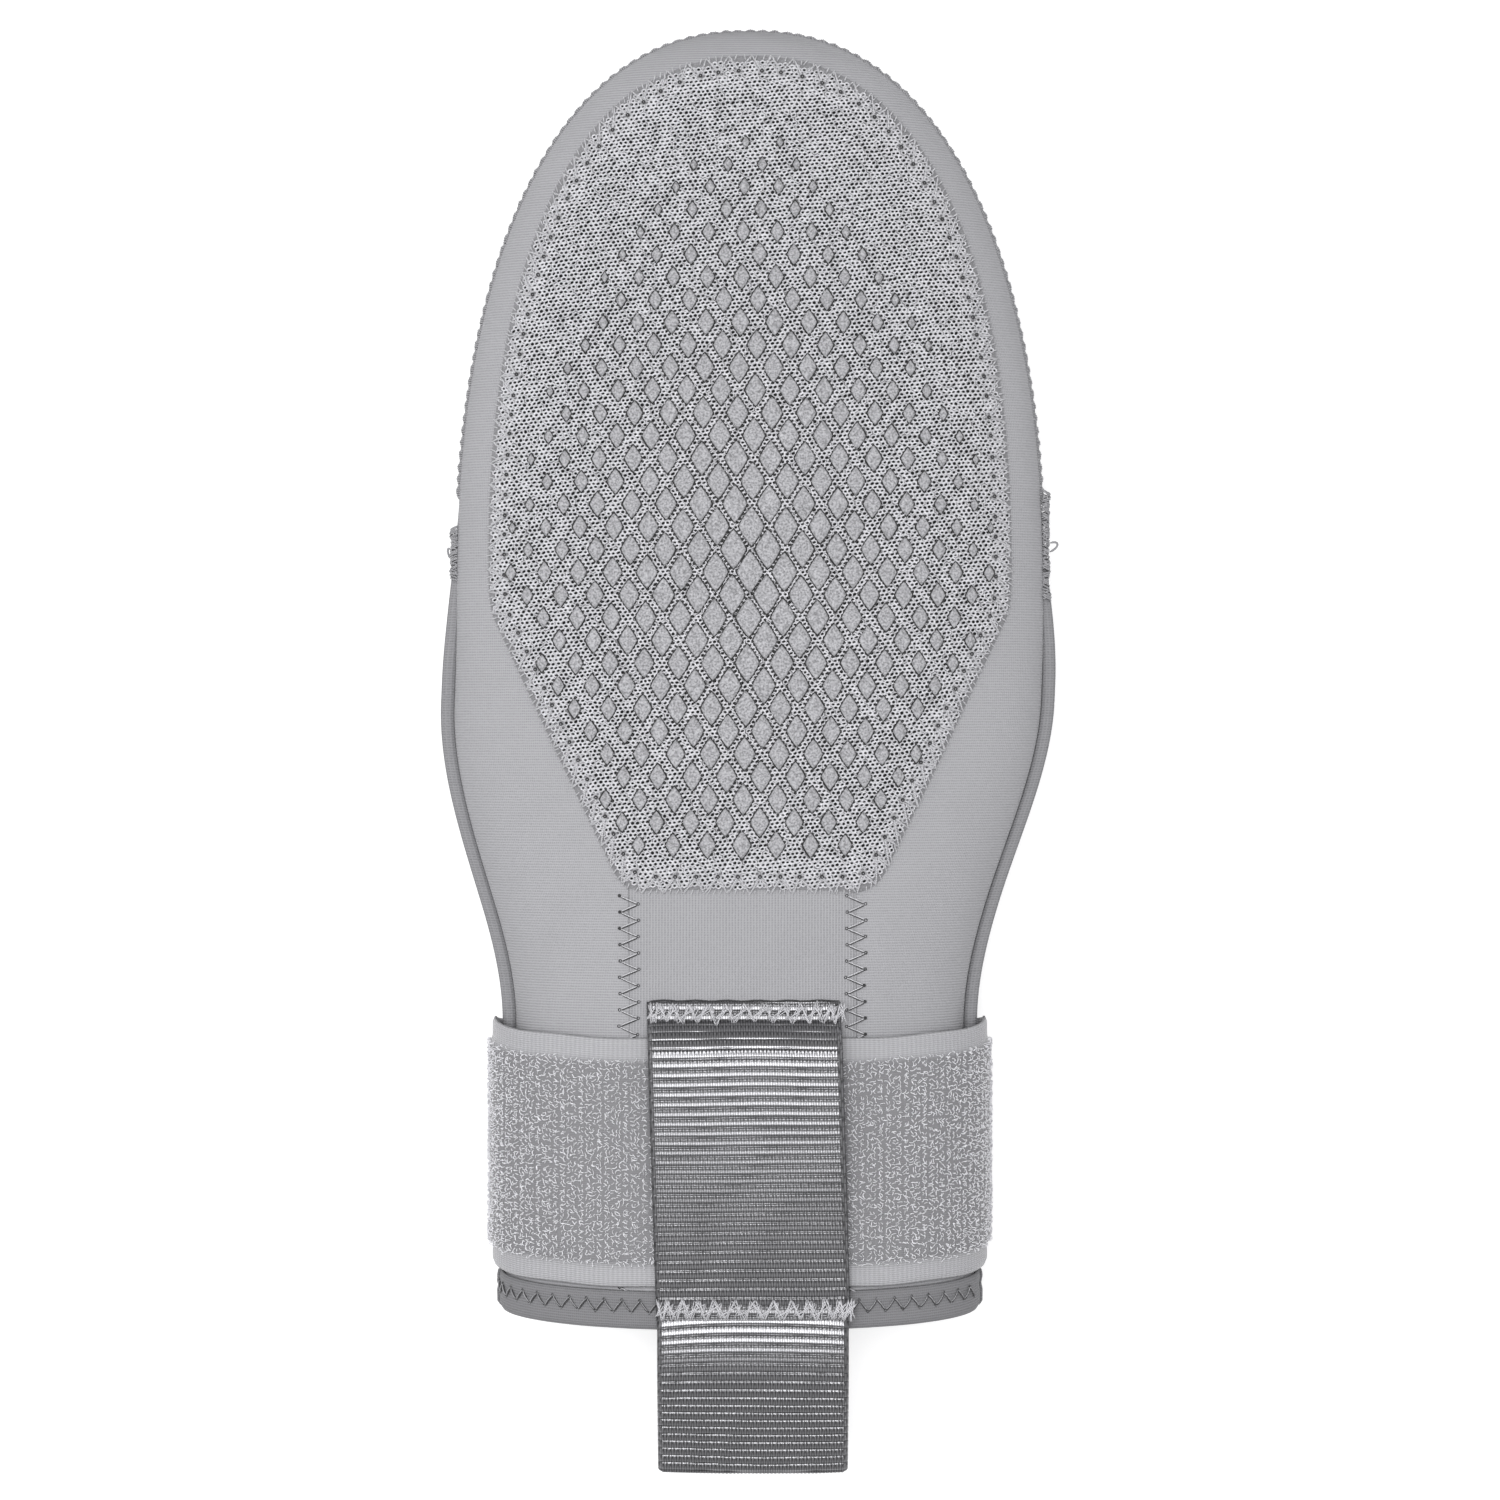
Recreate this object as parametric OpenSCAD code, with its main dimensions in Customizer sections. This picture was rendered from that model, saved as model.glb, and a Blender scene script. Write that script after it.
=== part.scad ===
// Sliding mitt: a padded mitt of neoprene that guards the hand and wrist. Two neoprene panels are sewn
// together round the fingers and open at the sides of the wrist. Each holds a stiff plate behind a
// stitched foam pad. An elastic strap closes the cuff with hook and loop, under a webbing keeper
// whose end is a pull tab.
// X is across the mitt, +Y is towards the fingertips, +Z is up through the front pad.
// The mitt lies on its back pad, and the origin is below its middle, on that surface.

/* [Body] */
// Width of the two panels where they are sewn together
body_w = 121; // [119:1:123]
// Width of the back panel at the cuff
cuff_w = 98; // [96:1:99]
// Height of the edge seam above the surface
seam_z = 18; // [18:0.5:20]
// Rise of the front panel above the seam, over the hand
hand_h = 15; // [14:0.5:17]
// Rise of the front panel above the seam, at the cuff
cuff_h = 20; // [19:0.5:22]
// Thickness of the neoprene
neoprene_t = 3; // [2:0.5:3]

/* [Pads] */
// Width of each pad
pad_w = 107; // [100:1:108]
// Thickness of the foam under the mesh
foam_t = 3; // [2:0.5:3]
// Thickness of the mesh cover
cover_t = 1.2; // [0.8:0.1:1.4]
// Thickness of each stiff plate
plate_t = 1.5; // [1:0.1:1.6]

/* [Strap and webbing] */
// Width of the elastic strap
strap_w = 50; // [40:1:50]
// Thickness of the elastic strap
strap_t = 2.2; // [1.6:0.1:2.3]
// Width of the webbing
webbing_w = 38.5; // [32:0.5:40]
// Thickness of the webbing
webbing_t = 1.3; // [1:0.1:1.4]
// Length of the pull tab
tab_l = 35; // [30:1:36]
// Droop of the pull tab below level, in degrees
tab_droop = 20; // [10:1:25]

/* [Hidden] */

// Places along the mitt
wide_y = 31;       // widest point of the front panel
flare_top_y = 52;  // where the back panel begins to spread past the front panel
flare_low_y = 14;  // where it has spread fully
tip_y = 148;       // end of the fingertips, less the overlock thread
waist_top_y = 10;  // where the sides begin to draw in
cuff_y = -56;      // where they have drawn in to the cuff
hem_y = -113;      // end of the cuff
pad_y = 36;        // widest point of the pads
pad_top_y = 142;   // upper end of the pads
pad_low_y = -29;   // lower end of the pads
strap_y = -81.5;   // middle of the strap
keeper_top_y = -50.8; // upper end of the webbing keeper
tack_y = -115;     // the seam that ends the keeper and begins the pull tab

// Shape of the body
tip_l = tip_y - wide_y;
outline_p = 2.3;   // exponent of the rounded outline over the fingers
front_p = 2.4;     // exponent of the front panel's sections
back_p = 3.6;      // exponent of the back panel's flatter sections
front_taper_p = 3.4; // exponent of the front panel's fall in height towards the fingertips
back_taper_p = 5;  // exponent of the back panel's rise towards the fingertips
cuff_shift = 2.1;  // how far the cuff lies to the left of the hand's middle
shift_top_y = 28;  // where the body begins to lean that way, and where it has done so
shift_low_y = -32;
slit_step = 2.8;   // how far the back panel spreads past the front panel beside the slits
hem_bow = 2.7;     // how far the hem's middle hangs below its ends
hem_l = 6.2;       // length and thickness of the turned hem
hem_t = 1.1;
lap = 0.2;         // gap left between neighbouring layers
back_hand_h = seam_z - foam_t - cover_t - 2 * lap; // depth of the back panel over the hand
strap_out = 1.1;   // clearance between the cuff and the strap
hook_t = 0.7;      // thickness of the hook patch
hook_gap = 0.6;    // clearance between the hook patch and the run that it holds
tail_sag = strap_t + hook_t + hook_gap; // how far the tail's run lies under the sewn run
// Depth of the back panel at the cuff, which leaves room for both runs of strap
back_cuff_h = seam_z - strap_out - strap_t - tail_sag - lap;

// Fineness of the curved layers
tip_steps = 12;
tip_turn = 88;     // how far round the fingertips' outline the first station is, in degrees
side_steps = 16;
section_steps = 20;
ring_steps = 7;
spoke_steps = 48;

thread_r = 0.3;    // radius of the sewing thread
zigzag_w = 3.6;    // width of a zigzag seam
zigzag_pitch = 3.4; // length of one zigzag

function smooth(a, b, v) = let(u = min(1, max(0, (v - a) / (b - a)))) u * u * (3 - 2 * u);
function sign_pow(v, e) = sign(v) * pow(abs(v), e);
function arch(r, p) = pow(max(0, 1 - pow(min(1, abs(r)), p)), 1 / p);

// Half-width and height of the body. side is 1 for the front panel and -1 for the back.
function half_w(side, y) =
  body_w / 2 - (body_w / 2 - cuff_w / 2 + slit_step) * smooth(waist_top_y, cuff_y, y)
  + (side > 0 ? 0 : slit_step * smooth(flare_top_y, flare_low_y, y));
function full_h(side, y) =
  side > 0 ? hand_h + (cuff_h - hand_h) * smooth(wide_y, cuff_y, y)
  : back_hand_h + (back_cuff_h - back_hand_h) * smooth(pad_low_y + 8, cuff_y, y);
function centre_x(y) = -cuff_shift * smooth(shift_top_y, shift_low_y, y);
function section_p(side) = side > 0 ? front_p : back_p;
function taper_p(side) = side > 0 ? front_taper_p : back_taper_p;

// 1 up to the widest place, falling to 0 at the end of the fingertips
function tip_share(y, out) = 1 - pow(min(1, max(0, (y - wide_y) / (tip_l + out))), outline_p);

// Height above the surface of a panel's outer face, pushed out by a given amount
function face_z(side, x, y, out = 0) =
  let(
    k = tip_share(y, out),
    w = (half_w(side, y) + out) * pow(k, 1 / outline_p),
    h = (full_h(side, y) + out) * pow(k, 1 / taper_p(side))
  ) seam_z + side * (lap / 2 + h * arch((x - centre_x(y)) / max(w, 0.1), section_p(side)));

// One station of a panel: its place, half-width and height, drawn in by an inset
function station(side, i, inset, end_y) =
  i <= tip_steps
  ? let(
      a = tip_turn * (1 - i / tip_steps),
      y = wide_y + (tip_l - inset) * pow(sin(a), 2 / outline_p)
    ) [
      y,
      (half_w(side, y) - inset) * pow(cos(a), 2 / outline_p),
      (full_h(side, wide_y) - inset) * pow(cos(a), 2 / taper_p(side)),
    ]
  : let(y = wide_y + (end_y - wide_y) * (i - tip_steps) / side_steps)
    [y, half_w(side, y) - inset, full_h(side, y) - inset];

// The points across a panel at one station, from its right edge to its left edge
function section(side, s) = [
  for (j = [0:section_steps]) let(t = 180 * j / section_steps, e = 2 / section_p(side))
    [
      centre_x(s[0]) + s[1] * sign_pow(cos(t), e),
      s[0] - hem_bow * smooth(cuff_y, hem_y, s[0]) * sin(t),
      seam_z + side * (lap / 2 + s[2] * pow(sin(t), e)),
    ]
];

function reversed(face) = [for (k = [len(face) - 1:-1:0]) face[k]];

// A closed solid between two grids of the same size, each a list of rows
module between(outer, inner, flip) {
  rows = len(outer);
  cols = len(outer[0]);
  pts = [for (g = [outer, inner]) for (r = g) for (p = r) p];
  function at(g, i, j) = g * rows * cols + i * cols + j;
  faces = [
    for (i = [0:rows - 2]) for (j = [0:cols - 2]) each [
      [at(0, i, j), at(0, i + 1, j), at(0, i + 1, j + 1)],
      [at(0, i, j), at(0, i + 1, j + 1), at(0, i, j + 1)],
      [at(1, i, j), at(1, i + 1, j + 1), at(1, i + 1, j)],
      [at(1, i, j), at(1, i, j + 1), at(1, i + 1, j + 1)],
    ],
    for (i = [0:rows - 2]) each [
      [at(0, i, 0), at(1, i, 0), at(1, i + 1, 0)],
      [at(0, i, 0), at(1, i + 1, 0), at(0, i + 1, 0)],
      [at(0, i, cols - 1), at(1, i + 1, cols - 1), at(1, i, cols - 1)],
      [at(0, i, cols - 1), at(0, i + 1, cols - 1), at(1, i + 1, cols - 1)],
    ],
    for (j = [0:cols - 2]) each [
      [at(0, 0, j), at(1, 0, j + 1), at(1, 0, j)],
      [at(0, 0, j), at(0, 0, j + 1), at(1, 0, j + 1)],
      [at(0, rows - 1, j), at(1, rows - 1, j), at(1, rows - 1, j + 1)],
      [at(0, rows - 1, j), at(1, rows - 1, j + 1), at(0, rows - 1, j + 1)],
    ],
  ];
  polyhedron(pts, flip ? faces : [for (f = faces) reversed(f)], convexity = 6);
}

// A layer of the body that follows a whole panel, from one inset to another
module panel_layer(side, outset, inset, end_y = hem_y) {
  n = tip_steps + side_steps;
  rows = function(o) [for (i = [0:n]) section(side, station(side, i, o, end_y))];
  between(rows(outset), rows(inset), side > 0);
}

// A band round a panel's outer face, up from the end of the cuff
module hem_band(side, outset, inset) {
  steps = 4;
  rows = function(o) [
    for (i = [0:steps]) let(y = hem_y + hem_l * (1 - i / steps))
      section(side, [y, half_w(side, y) - o, full_h(side, y) - o])
  ];
  between(rows(outset), rows(inset), side > 0);
}

// Outline of the pads: a rounded top, a straight taper and a short flat lower edge with round corners
pad_corner_r = 8;
pad_foot_w = 41;
pad_low_l = 34;
pad_p = 2.35;      // exponent of the pads' rounded outline
function pad_oval(a, grow) =
  let(e = 2 / pad_p, b = sin(a) > 0 ? pad_top_y - pad_y : pad_low_l)
    [(pad_w / 2 + grow) * sign_pow(cos(a), e), pad_y + (b + grow) * sign_pow(sin(a), e)];
module pad_outline(grow = 0) {
  hull() {
    polygon([for (a = [0:6:354]) pad_oval(a, grow)]);
    for (s = [-1, 1])
      translate([s * (pad_foot_w / 2), pad_low_y + pad_corner_r])
        circle(r = pad_corner_r + grow, $fn = 32);
  }
}

// The same outline as a distance from a point inside it, for the curved layers and the stitches
pad_mid = [0, 50];
function ray_out(dir, p) = (p[0] - pad_mid[0]) * dir[0] + (p[1] - pad_mid[1]) * dir[1];
function pad_points(grow) = concat(
  [for (a = [-12:6:192]) pad_oval(a, grow)],
  [
    for (s = [-1, 1]) for (a = [180:15:360])
      [s * pad_foot_w / 2, pad_low_y + pad_corner_r] + (pad_corner_r + grow) * [cos(a), sin(a)]
  ]
);
// How far the outline reaches in each of many directions gives its hull's reach along any spoke
pad_rays = 90;
function support(pts, a) = max([for (p = pts) ray_out([cos(a), sin(a)], p)]);
function reach_along(sup, a) =
  min([for (k = [0:pad_rays - 1]) let(d = cos(a - k * 360 / pad_rays)) if (d > 0.2) sup[k] / d]);
function pad_support(grow) =
  let(pts = pad_points(grow)) [for (k = [0:pad_rays - 1]) support(pts, k * 360 / pad_rays)];
function pad_ring(sup, share, count) = [
  for (k = [0:count - 1]) let(a = k * 360 / count)
    pad_mid + share * reach_along(sup, a) * [cos(a), sin(a)]
];

// A curved sheet over the pad's area, from one height above the panel's face to another. Near its
// edge its outer face comes down by drop, and its inner face by low_drop. A flat height in place of
// high gives it a level outer face.
edge_p = 9;        // how close to the pad's edge it comes down
crowding = 1.6;    // how much closer together its rings are towards the edge
module pad_sheet(side, grow, low, high, drop = 0, low_drop = 0, flat_z = undef) {
  sup = pad_support(grow);
  shares = [for (i = [1:ring_steps]) 1 - pow(1 - i / ring_steps, crowding)];
  fall = function(share) pow(share, edge_p);
  lift = function(p, out) [p[0], p[1], face_z(side, p[0], p[1], out)];
  level = function(p, out) is_undef(flat_z) ? lift(p, out) : [p[0], p[1], flat_z];
  top = [for (q = shares) for (p = pad_ring(sup, q, spoke_steps)) level(p, high - drop * fall(q))];
  base = [for (q = shares) for (p = pad_ring(sup, q, spoke_steps)) lift(p, low - low_drop * fall(q))];
  n = ring_steps * spoke_steps;
  pts = concat(top, base, [level(pad_mid, high), lift(pad_mid, low)]);
  next = function(k) (k + 1) % spoke_steps;
  faces = [
    for (k = [0:spoke_steps - 1]) each [
      [2 * n, next(k), k],
      [2 * n + 1, n + k, n + next(k)],
      [n - spoke_steps + k, n - spoke_steps + next(k), 2 * n - spoke_steps + next(k)],
      [n - spoke_steps + k, 2 * n - spoke_steps + next(k), 2 * n - spoke_steps + k],
    ],
    for (i = [0:ring_steps - 2]) for (k = [0:spoke_steps - 1])
      let(a = i * spoke_steps + k, b = i * spoke_steps + next(k)) each [
        [a, b, b + spoke_steps],
        [a, b + spoke_steps, a + spoke_steps],
        [n + a, n + b + spoke_steps, n + b],
        [n + a, n + a + spoke_steps, n + b + spoke_steps],
      ],
  ];
  polyhedron(pts, side > 0 ? faces : [for (f = faces) reversed(f)], convexity = 6);
}

// One straight stitch between two points
module stitch(a, b, r = thread_r) {
  d = b - a;
  translate(a) rotate([0, acos(d[2] / norm(d)), atan2(d[1], d[0])])
    cylinder(h = norm(d) - 2 * r, r = r, $fn = 16);
}
module stitches(pts, closed = false) {
  for (k = [0:len(pts) - (closed ? 1 : 2)]) stitch(pts[k], pts[(k + 1) % len(pts)]);
}

// Zigzag round the edge of a pad, from the mesh out over its edge. The front one follows the crown,
// and the back one lies level at flat_z.
module pad_stitch(side, flat_z) {
  count = 100;
  outside = 0.6;
  in_z = foam_t + cover_t - 0.4; // over the crown, where it has begun to come down
  out_z = cover_t + thread_r + 0.1;
  sup = pad_support(outside);
  stitches([
    for (k = [0:2 * count - 1])
      let(
        a = k * 180 / count,
        inner = k % 2 == 0,
        p = pad_mid + (reach_along(sup, a) - (inner ? zigzag_w : 0)) * [cos(a), sin(a)]
      ) [p[0], p[1], side > 0 ? face_z(side, p[0], p[1], inner ? in_z : out_z) : flat_z]
  ], true);
}

// The cuff's section outside the panels, as a ring that the strap follows. t is 90 at the top of the
// front, 0 at the right side and -90 under the back. out is the distance from the cuff, and sag is
// how much further out the tail's run lies.
function ring_point(t, out, sag = 0) =
  let(
    up = sin(t) > 0,
    e = 2 / (up ? front_p : back_p),
    h = out + (up ? cuff_h : back_cuff_h + sag),
    w = cuff_w / 2 + out
  ) [w * sign_pow(cos(t), e) - cuff_shift, seam_z + h * sign_pow(sin(t), e)];

// A run of strap from one place on that ring to another, and then level to end_x if it is given
module strap_run(from_t, to_t, sag = 0, end_x = undef, steps = 18) {
  ts = [for (k = [0:steps]) from_t + (to_t - from_t) * k / steps];
  side = function(out) concat(
    [for (a = ts) ring_point(a, out, sag)],
    is_undef(end_x) ? [] : [[end_x, ring_point(to_t, out, sag)[1]]]
  );
  outer = side(strap_out + strap_t);
  inner = side(strap_out);
  translate([0, strap_y + strap_w / 2, 0]) rotate([90, 0, 0]) linear_extrude(strap_w)
    polygon(concat(outer, reversed(inner)));
}

// The strap's two fold lines, as places on the ring
upper_t = 50;    // right shoulder
lower_t = -50;   // lower right corner
fold_gap = 0.6;  // gap between the strap's lengths at a fold line, in degrees
anchor_t = 285;  // end of the sewn run under the back
tail_end_x = -30;
run_z = seam_z - back_cuff_h - strap_out; // top face of the sewn run under the back
tail_z = run_z - tail_sag;                // top face of the tail

// ---- Panels and linings
module front_shell() color("gainsboro") panel_layer(1, 0, neoprene_t);
module back_shell() color("silver") panel_layer(-1, 0, neoprene_t);
lining_t = 0.8;
lining_in = neoprene_t + plate_t + 2 * lap;
lining_end_y = hem_y + 4;
module lining(side) panel_layer(side, lining_in, lining_in + lining_t, lining_end_y);
module front_lining() color("darkgray") lining(1);
module back_lining() color("darkgray") lining(-1);

// ---- Pads
plate_margin = 7;  // how far inside the pad's outline the plate ends
foam_margin = 5;   // how far inside the pad's outline the foam ends
foam_bevel = 2;    // how far the foam's face comes down at its edge
module plate(side) pad_sheet(side, -plate_margin, -neoprene_t - lap - plate_t, -neoprene_t - lap);
module front_plate() color("whitesmoke") plate(1);
module back_plate() color("whitesmoke") plate(-1);
module front_foam() color("lightgray") pad_sheet(1, -foam_margin, lap, foam_t - lap, foam_bevel);
module back_foam() color("lightgray") pad_sheet(-1, -foam_margin, lap, foam_t, flat_z = cover_t + lap);
module front_cover() color("silver")
  pad_sheet(1, 0, foam_t, foam_t + cover_t, foam_t - lap, foam_t - lap);
module back_cover() color("silver") linear_extrude(cover_t) pad_outline();
module front_cover_stitch() color("gainsboro") pad_stitch(1);
module back_cover_stitch() color("gainsboro") pad_stitch(-1, cover_t + thread_r + 0.1);

// ---- Centre inset, which lies on the front panel between the pad and the hem
inset_half_w = 23;
inset_x = -1.5;
inset_t = 0.6;
inset_top_y = pad_low_y - 1.5;
inset_low_y = hem_y + hem_l + 1.3;
module centre_inset() color("lightgray") {
  rows = 10;
  cols = 10;
  sheet = function(out) [
    for (i = [0:rows]) let(y = inset_top_y + (inset_low_y - inset_top_y) * i / rows) [
      for (j = [0:cols]) let(x = inset_x + inset_half_w * (1 - 2 * j / cols)) [x, y, face_z(1, x, y, out)]
    ]
  ];
  between(sheet(lap + inset_t), sheet(lap), true);
}
module inset_stitches() color("gainsboro")
  for (s = [-1, 1]) {
    count = 14;
    stitches([
      for (k = [0:count])
        let(
          y = inset_top_y - 0.5 - k * zigzag_pitch / 2,
          x = inset_x + s * inset_half_w + (k % 2 == 0 ? 1 : -1) * zigzag_w / 2
        ) [x, y, face_z(1, x, y, inset_t + lap + thread_r + 0.1)]
    ]);
  }

// ---- Turned hems at the end of the cuff, each with a zigzag seam
module front_hem() color("darkgray") hem_band(1, -lap - hem_t, -lap);
module back_hem() color("darkgray") hem_band(-1, -lap - hem_t, -lap);
module hem_zigzag(side) {
  count = 50;
  end_t = 14;      // where the seam stops short of the hem's ends, in degrees
  half = 1;
  stitches([
    for (k = [0:count])
      let(
        t = end_t + (180 - 2 * end_t) * k / count,
        e = 2 / section_p(side),
        y = hem_y + hem_l / 2 + (k % 2 == 0 ? half : -half),
        o = lap + hem_t + thread_r + 0.1,
        x = centre_x(y) + (half_w(side, y) + o) * sign_pow(cos(t), e)
      ) [x, y - hem_bow * sin(t), seam_z + side * (full_h(side, y) + o) * pow(sin(t), e)]
  ]);
}
module front_hem_stitch() color("gainsboro") hem_zigzag(1);
module back_hem_stitch() color("gainsboro") hem_zigzag(-1);

// ---- Overlock thread round the fingers, from one side tack to the other, and the two tacks
overlock_r = 0.6;
overlock_h = 1.3;  // how far the thread reaches over and under the seam
module edge_overlock() color("darkgray") {
  sides = 6;
  n = 64;
  end_a = 8.5;     // where the thread starts and stops round the outline, in degrees
  away = overlock_r + lap / 2;
  ring = function(a)
    let(
      c = [
        (body_w / 2 + away) * sign_pow(cos(a), 2 / outline_p),
        wide_y + (tip_l + away) * pow(sin(a), 2 / outline_p),
        seam_z,
      ],
      out = [cos(a), sin(a), 0]
    ) [
      for (k = [0:sides - 1]) let(b = k * 360 / sides)
        c + overlock_r * cos(b) * out + [0, 0, overlock_h * sin(b)]
    ];
  rings = [for (i = [0:n]) ring(end_a + (180 - 2 * end_a) * i / n)];
  pts = [for (r = rings) for (p = r) p];
  polyhedron(pts, [
    [for (k = [0:sides - 1]) k],
    [for (k = [sides - 1:-1:0]) n * sides + k],
    for (i = [0:n - 1]) for (k = [0:sides - 1])
      let(a = i * sides + k, b = i * sides + (k + 1) % sides) each [
        [a, a + sides, b + sides],
        [a, b + sides, b],
      ],
  ], convexity = 6);
}
// A dense bar of thread on the back panel's rim, over the start of a side slit
module side_tack(side, mid_y, l) {
  r = 0.9;
  translate([side * (body_w / 2 + r), mid_y - l / 2, seam_z + r])
    rotate([-90, 0, 0]) cylinder(h = l, r = r, $fn = 24);
}
module left_tack() color("darkgray") side_tack(-1, 40.5, 10);
module right_tack() color("darkgray") side_tack(1, 41.8, 22);

// ---- Elastic strap: sewn under the back, round the left side, over the front to the right shoulder
module strap_band() color("silver") strap_run(upper_t + fold_gap, anchor_t, steps = 48);
module strap_anchor_stitch() color("gainsboro") {
  r = 0.2;
  z = run_z + r + 0.3;
  count = 11;
  half = strap_w / 2 - 6;
  step = 2 * half / count;
  rows = [-22, 6];
  for (x = rows) for (k = [0:count - 1])
    stitch([x, strap_y - half + k * step, z], [x, strap_y - half + (k + 1) * step, z], r);
}
module strap_side() color("silver") strap_run(upper_t, lower_t + fold_gap, tail_sag, steps = 28);
module strap_tail() color("silver") strap_run(lower_t, -90, tail_sag, tail_end_x, 12);
hook_l = 25;
hook_margin = 3;
hook_inset = 2;    // from the patch's edges to its stitches, and from its end to the tail's end
module hook_patch() color("dimgray")
  translate([tail_end_x + hook_inset, strap_y - strap_w / 2 + hook_margin, tail_z + 0.02])
    cube([hook_l, strap_w - 2 * hook_margin, hook_t]);
module hook_patch_stitch() color("gainsboro") {
  r = 0.15;
  x0 = tail_end_x + 2 * hook_inset;
  x1 = tail_end_x + hook_l;
  y0 = strap_y - strap_w / 2 + hook_margin + hook_inset;
  y1 = strap_y + strap_w / 2 - hook_margin - hook_inset;
  z = tail_z + hook_t + r + 0.05;
  corners = [[x0, y0, z], [x1, y0, z], [x1, y1, z], [x0, y1, z]];
  for (k = [0:3]) stitch(corners[k], corners[(k + 1) % 4], r);
}

// ---- Webbing keeper over the strap, its two tacks and the pull tab
keeper_z = seam_z + cuff_h + inset_t + 2 * lap;     // underside of the webbing where it is sewn down
over_z = seam_z + cuff_h + strap_out + strap_t + 0.3; // underside of the webbing over the strap
keeper_step = 0.4; // clearance between the webbing and the strap's edges
module keeper_profile() {
  t = webbing_t;
  top = strap_y + strap_w / 2 + keeper_step;
  low = strap_y - strap_w / 2 - keeper_step;
  slope = 1.2;
  polygon([
    [keeper_top_y, keeper_z], [top + slope, keeper_z], [top, over_z],
    [low, over_z], [low - slope, keeper_z + hem_t], [tack_y, keeper_z + hem_t],
    [tack_y, keeper_z + hem_t + t], [low - slope - t / 2, keeper_z + hem_t + t], [low - t / 2, over_z + t],
    [top + t / 2, over_z + t], [top + slope + t / 2, keeper_z + t], [keeper_top_y, keeper_z + t],
  ]);
}
module across(w) translate([-w / 2, 0, 0]) rotate([90, 0, 90]) linear_extrude(w) children();
module strap_keeper() color("dimgray") across(webbing_w) keeper_profile();
module webbing_tack(y, z, half) {
  count = 26;
  margin = 1;
  step = (webbing_w - 2 * margin) / count;
  stitches([
    for (k = [0:count]) [-webbing_w / 2 + margin + k * step, y + (k % 2 == 0 ? half : -half), z]
  ]);
}
module keeper_top_tack() color("gainsboro")
  webbing_tack(keeper_top_y - 1.5, keeper_z + webbing_t + thread_r + 0.1, 1.3);
module keeper_bottom_tack() color("gainsboro")
  webbing_tack(tack_y + 2.2, keeper_z + hem_t + webbing_t + thread_r + 0.1, zigzag_w / 2);

// The tab is a flat loop: an upper run, a tight fold and a lower run. It turns about the upper edge
// of its root, and its root is cut back below that edge so that it can droop.
tab_gap = 0.6;
tab_root = 0.4;
tab_hinge = [tack_y - tab_root, keeper_z + hem_t + webbing_t];
module tab_profile() {
  r = tab_gap / 2 + webbing_t;
  difference() {
    union() {
      translate([-tab_l + r, -r]) square([tab_l - r, 2 * r]);
      translate([-tab_l + r, 0]) circle(r = r, $fn = 32);
    }
    translate([-tab_l + r, -tab_gap / 2]) square([tab_l, tab_gap]);
    translate([-tab_l + r, 0]) circle(r = tab_gap / 2, $fn = 24);
    polygon([[0.1, r + 0.1], [0.1, -2 * r], [-3 * r, -2 * r]]);
  }
}
module pull_tab() color("dimgray")
  across(webbing_w - 0.5)
    translate(tab_hinge) rotate(tab_droop) translate([0, -tab_gap / 2 - webbing_t]) tab_profile();

front_shell();
back_shell();
front_lining();
back_lining();
front_plate();
back_plate();
front_foam();
back_foam();
front_cover();
back_cover();
front_cover_stitch();
back_cover_stitch();
centre_inset();
inset_stitches();
front_hem();
back_hem();
front_hem_stitch();
back_hem_stitch();
edge_overlock();
left_tack();
right_tack();
strap_band();
strap_anchor_stitch();
strap_keeper();
keeper_top_tack();
keeper_bottom_tack();
strap_side();
strap_tail();
hook_patch();
hook_patch_stitch();
pull_tab();
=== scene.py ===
"""Looks of a padded sliding mitt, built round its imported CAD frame.

Lengths inside this script are in millimetres, and every mesh is scaled to metres when it is made.
X is across the mitt, +Y is towards the fingertips and +Z is up through the front pad.
"""

import math

import bpy
import numpy as np
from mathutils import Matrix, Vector


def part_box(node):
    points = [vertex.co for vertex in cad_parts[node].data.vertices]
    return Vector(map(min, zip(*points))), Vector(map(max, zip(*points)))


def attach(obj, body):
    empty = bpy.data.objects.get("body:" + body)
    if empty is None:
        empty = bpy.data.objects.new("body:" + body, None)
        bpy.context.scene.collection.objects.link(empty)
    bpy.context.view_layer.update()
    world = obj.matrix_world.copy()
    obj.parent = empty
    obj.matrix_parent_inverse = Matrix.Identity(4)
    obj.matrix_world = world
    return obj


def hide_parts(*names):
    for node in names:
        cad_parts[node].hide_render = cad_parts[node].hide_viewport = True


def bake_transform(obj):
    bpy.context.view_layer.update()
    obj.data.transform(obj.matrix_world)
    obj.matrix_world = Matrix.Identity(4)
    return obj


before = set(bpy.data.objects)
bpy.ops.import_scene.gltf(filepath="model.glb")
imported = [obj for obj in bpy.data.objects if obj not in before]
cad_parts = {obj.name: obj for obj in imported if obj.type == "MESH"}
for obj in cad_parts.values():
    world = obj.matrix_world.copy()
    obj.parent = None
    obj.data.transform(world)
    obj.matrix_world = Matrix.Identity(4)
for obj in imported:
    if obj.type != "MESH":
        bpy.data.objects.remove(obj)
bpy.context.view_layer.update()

MM = 0.001
RNG = np.random.default_rng(11)


def cad_box(node):
    """Lowest and highest corner of a CAD node, in millimetres."""
    low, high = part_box(node)
    return np.array(low) / MM, np.array(high) / MM


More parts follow.
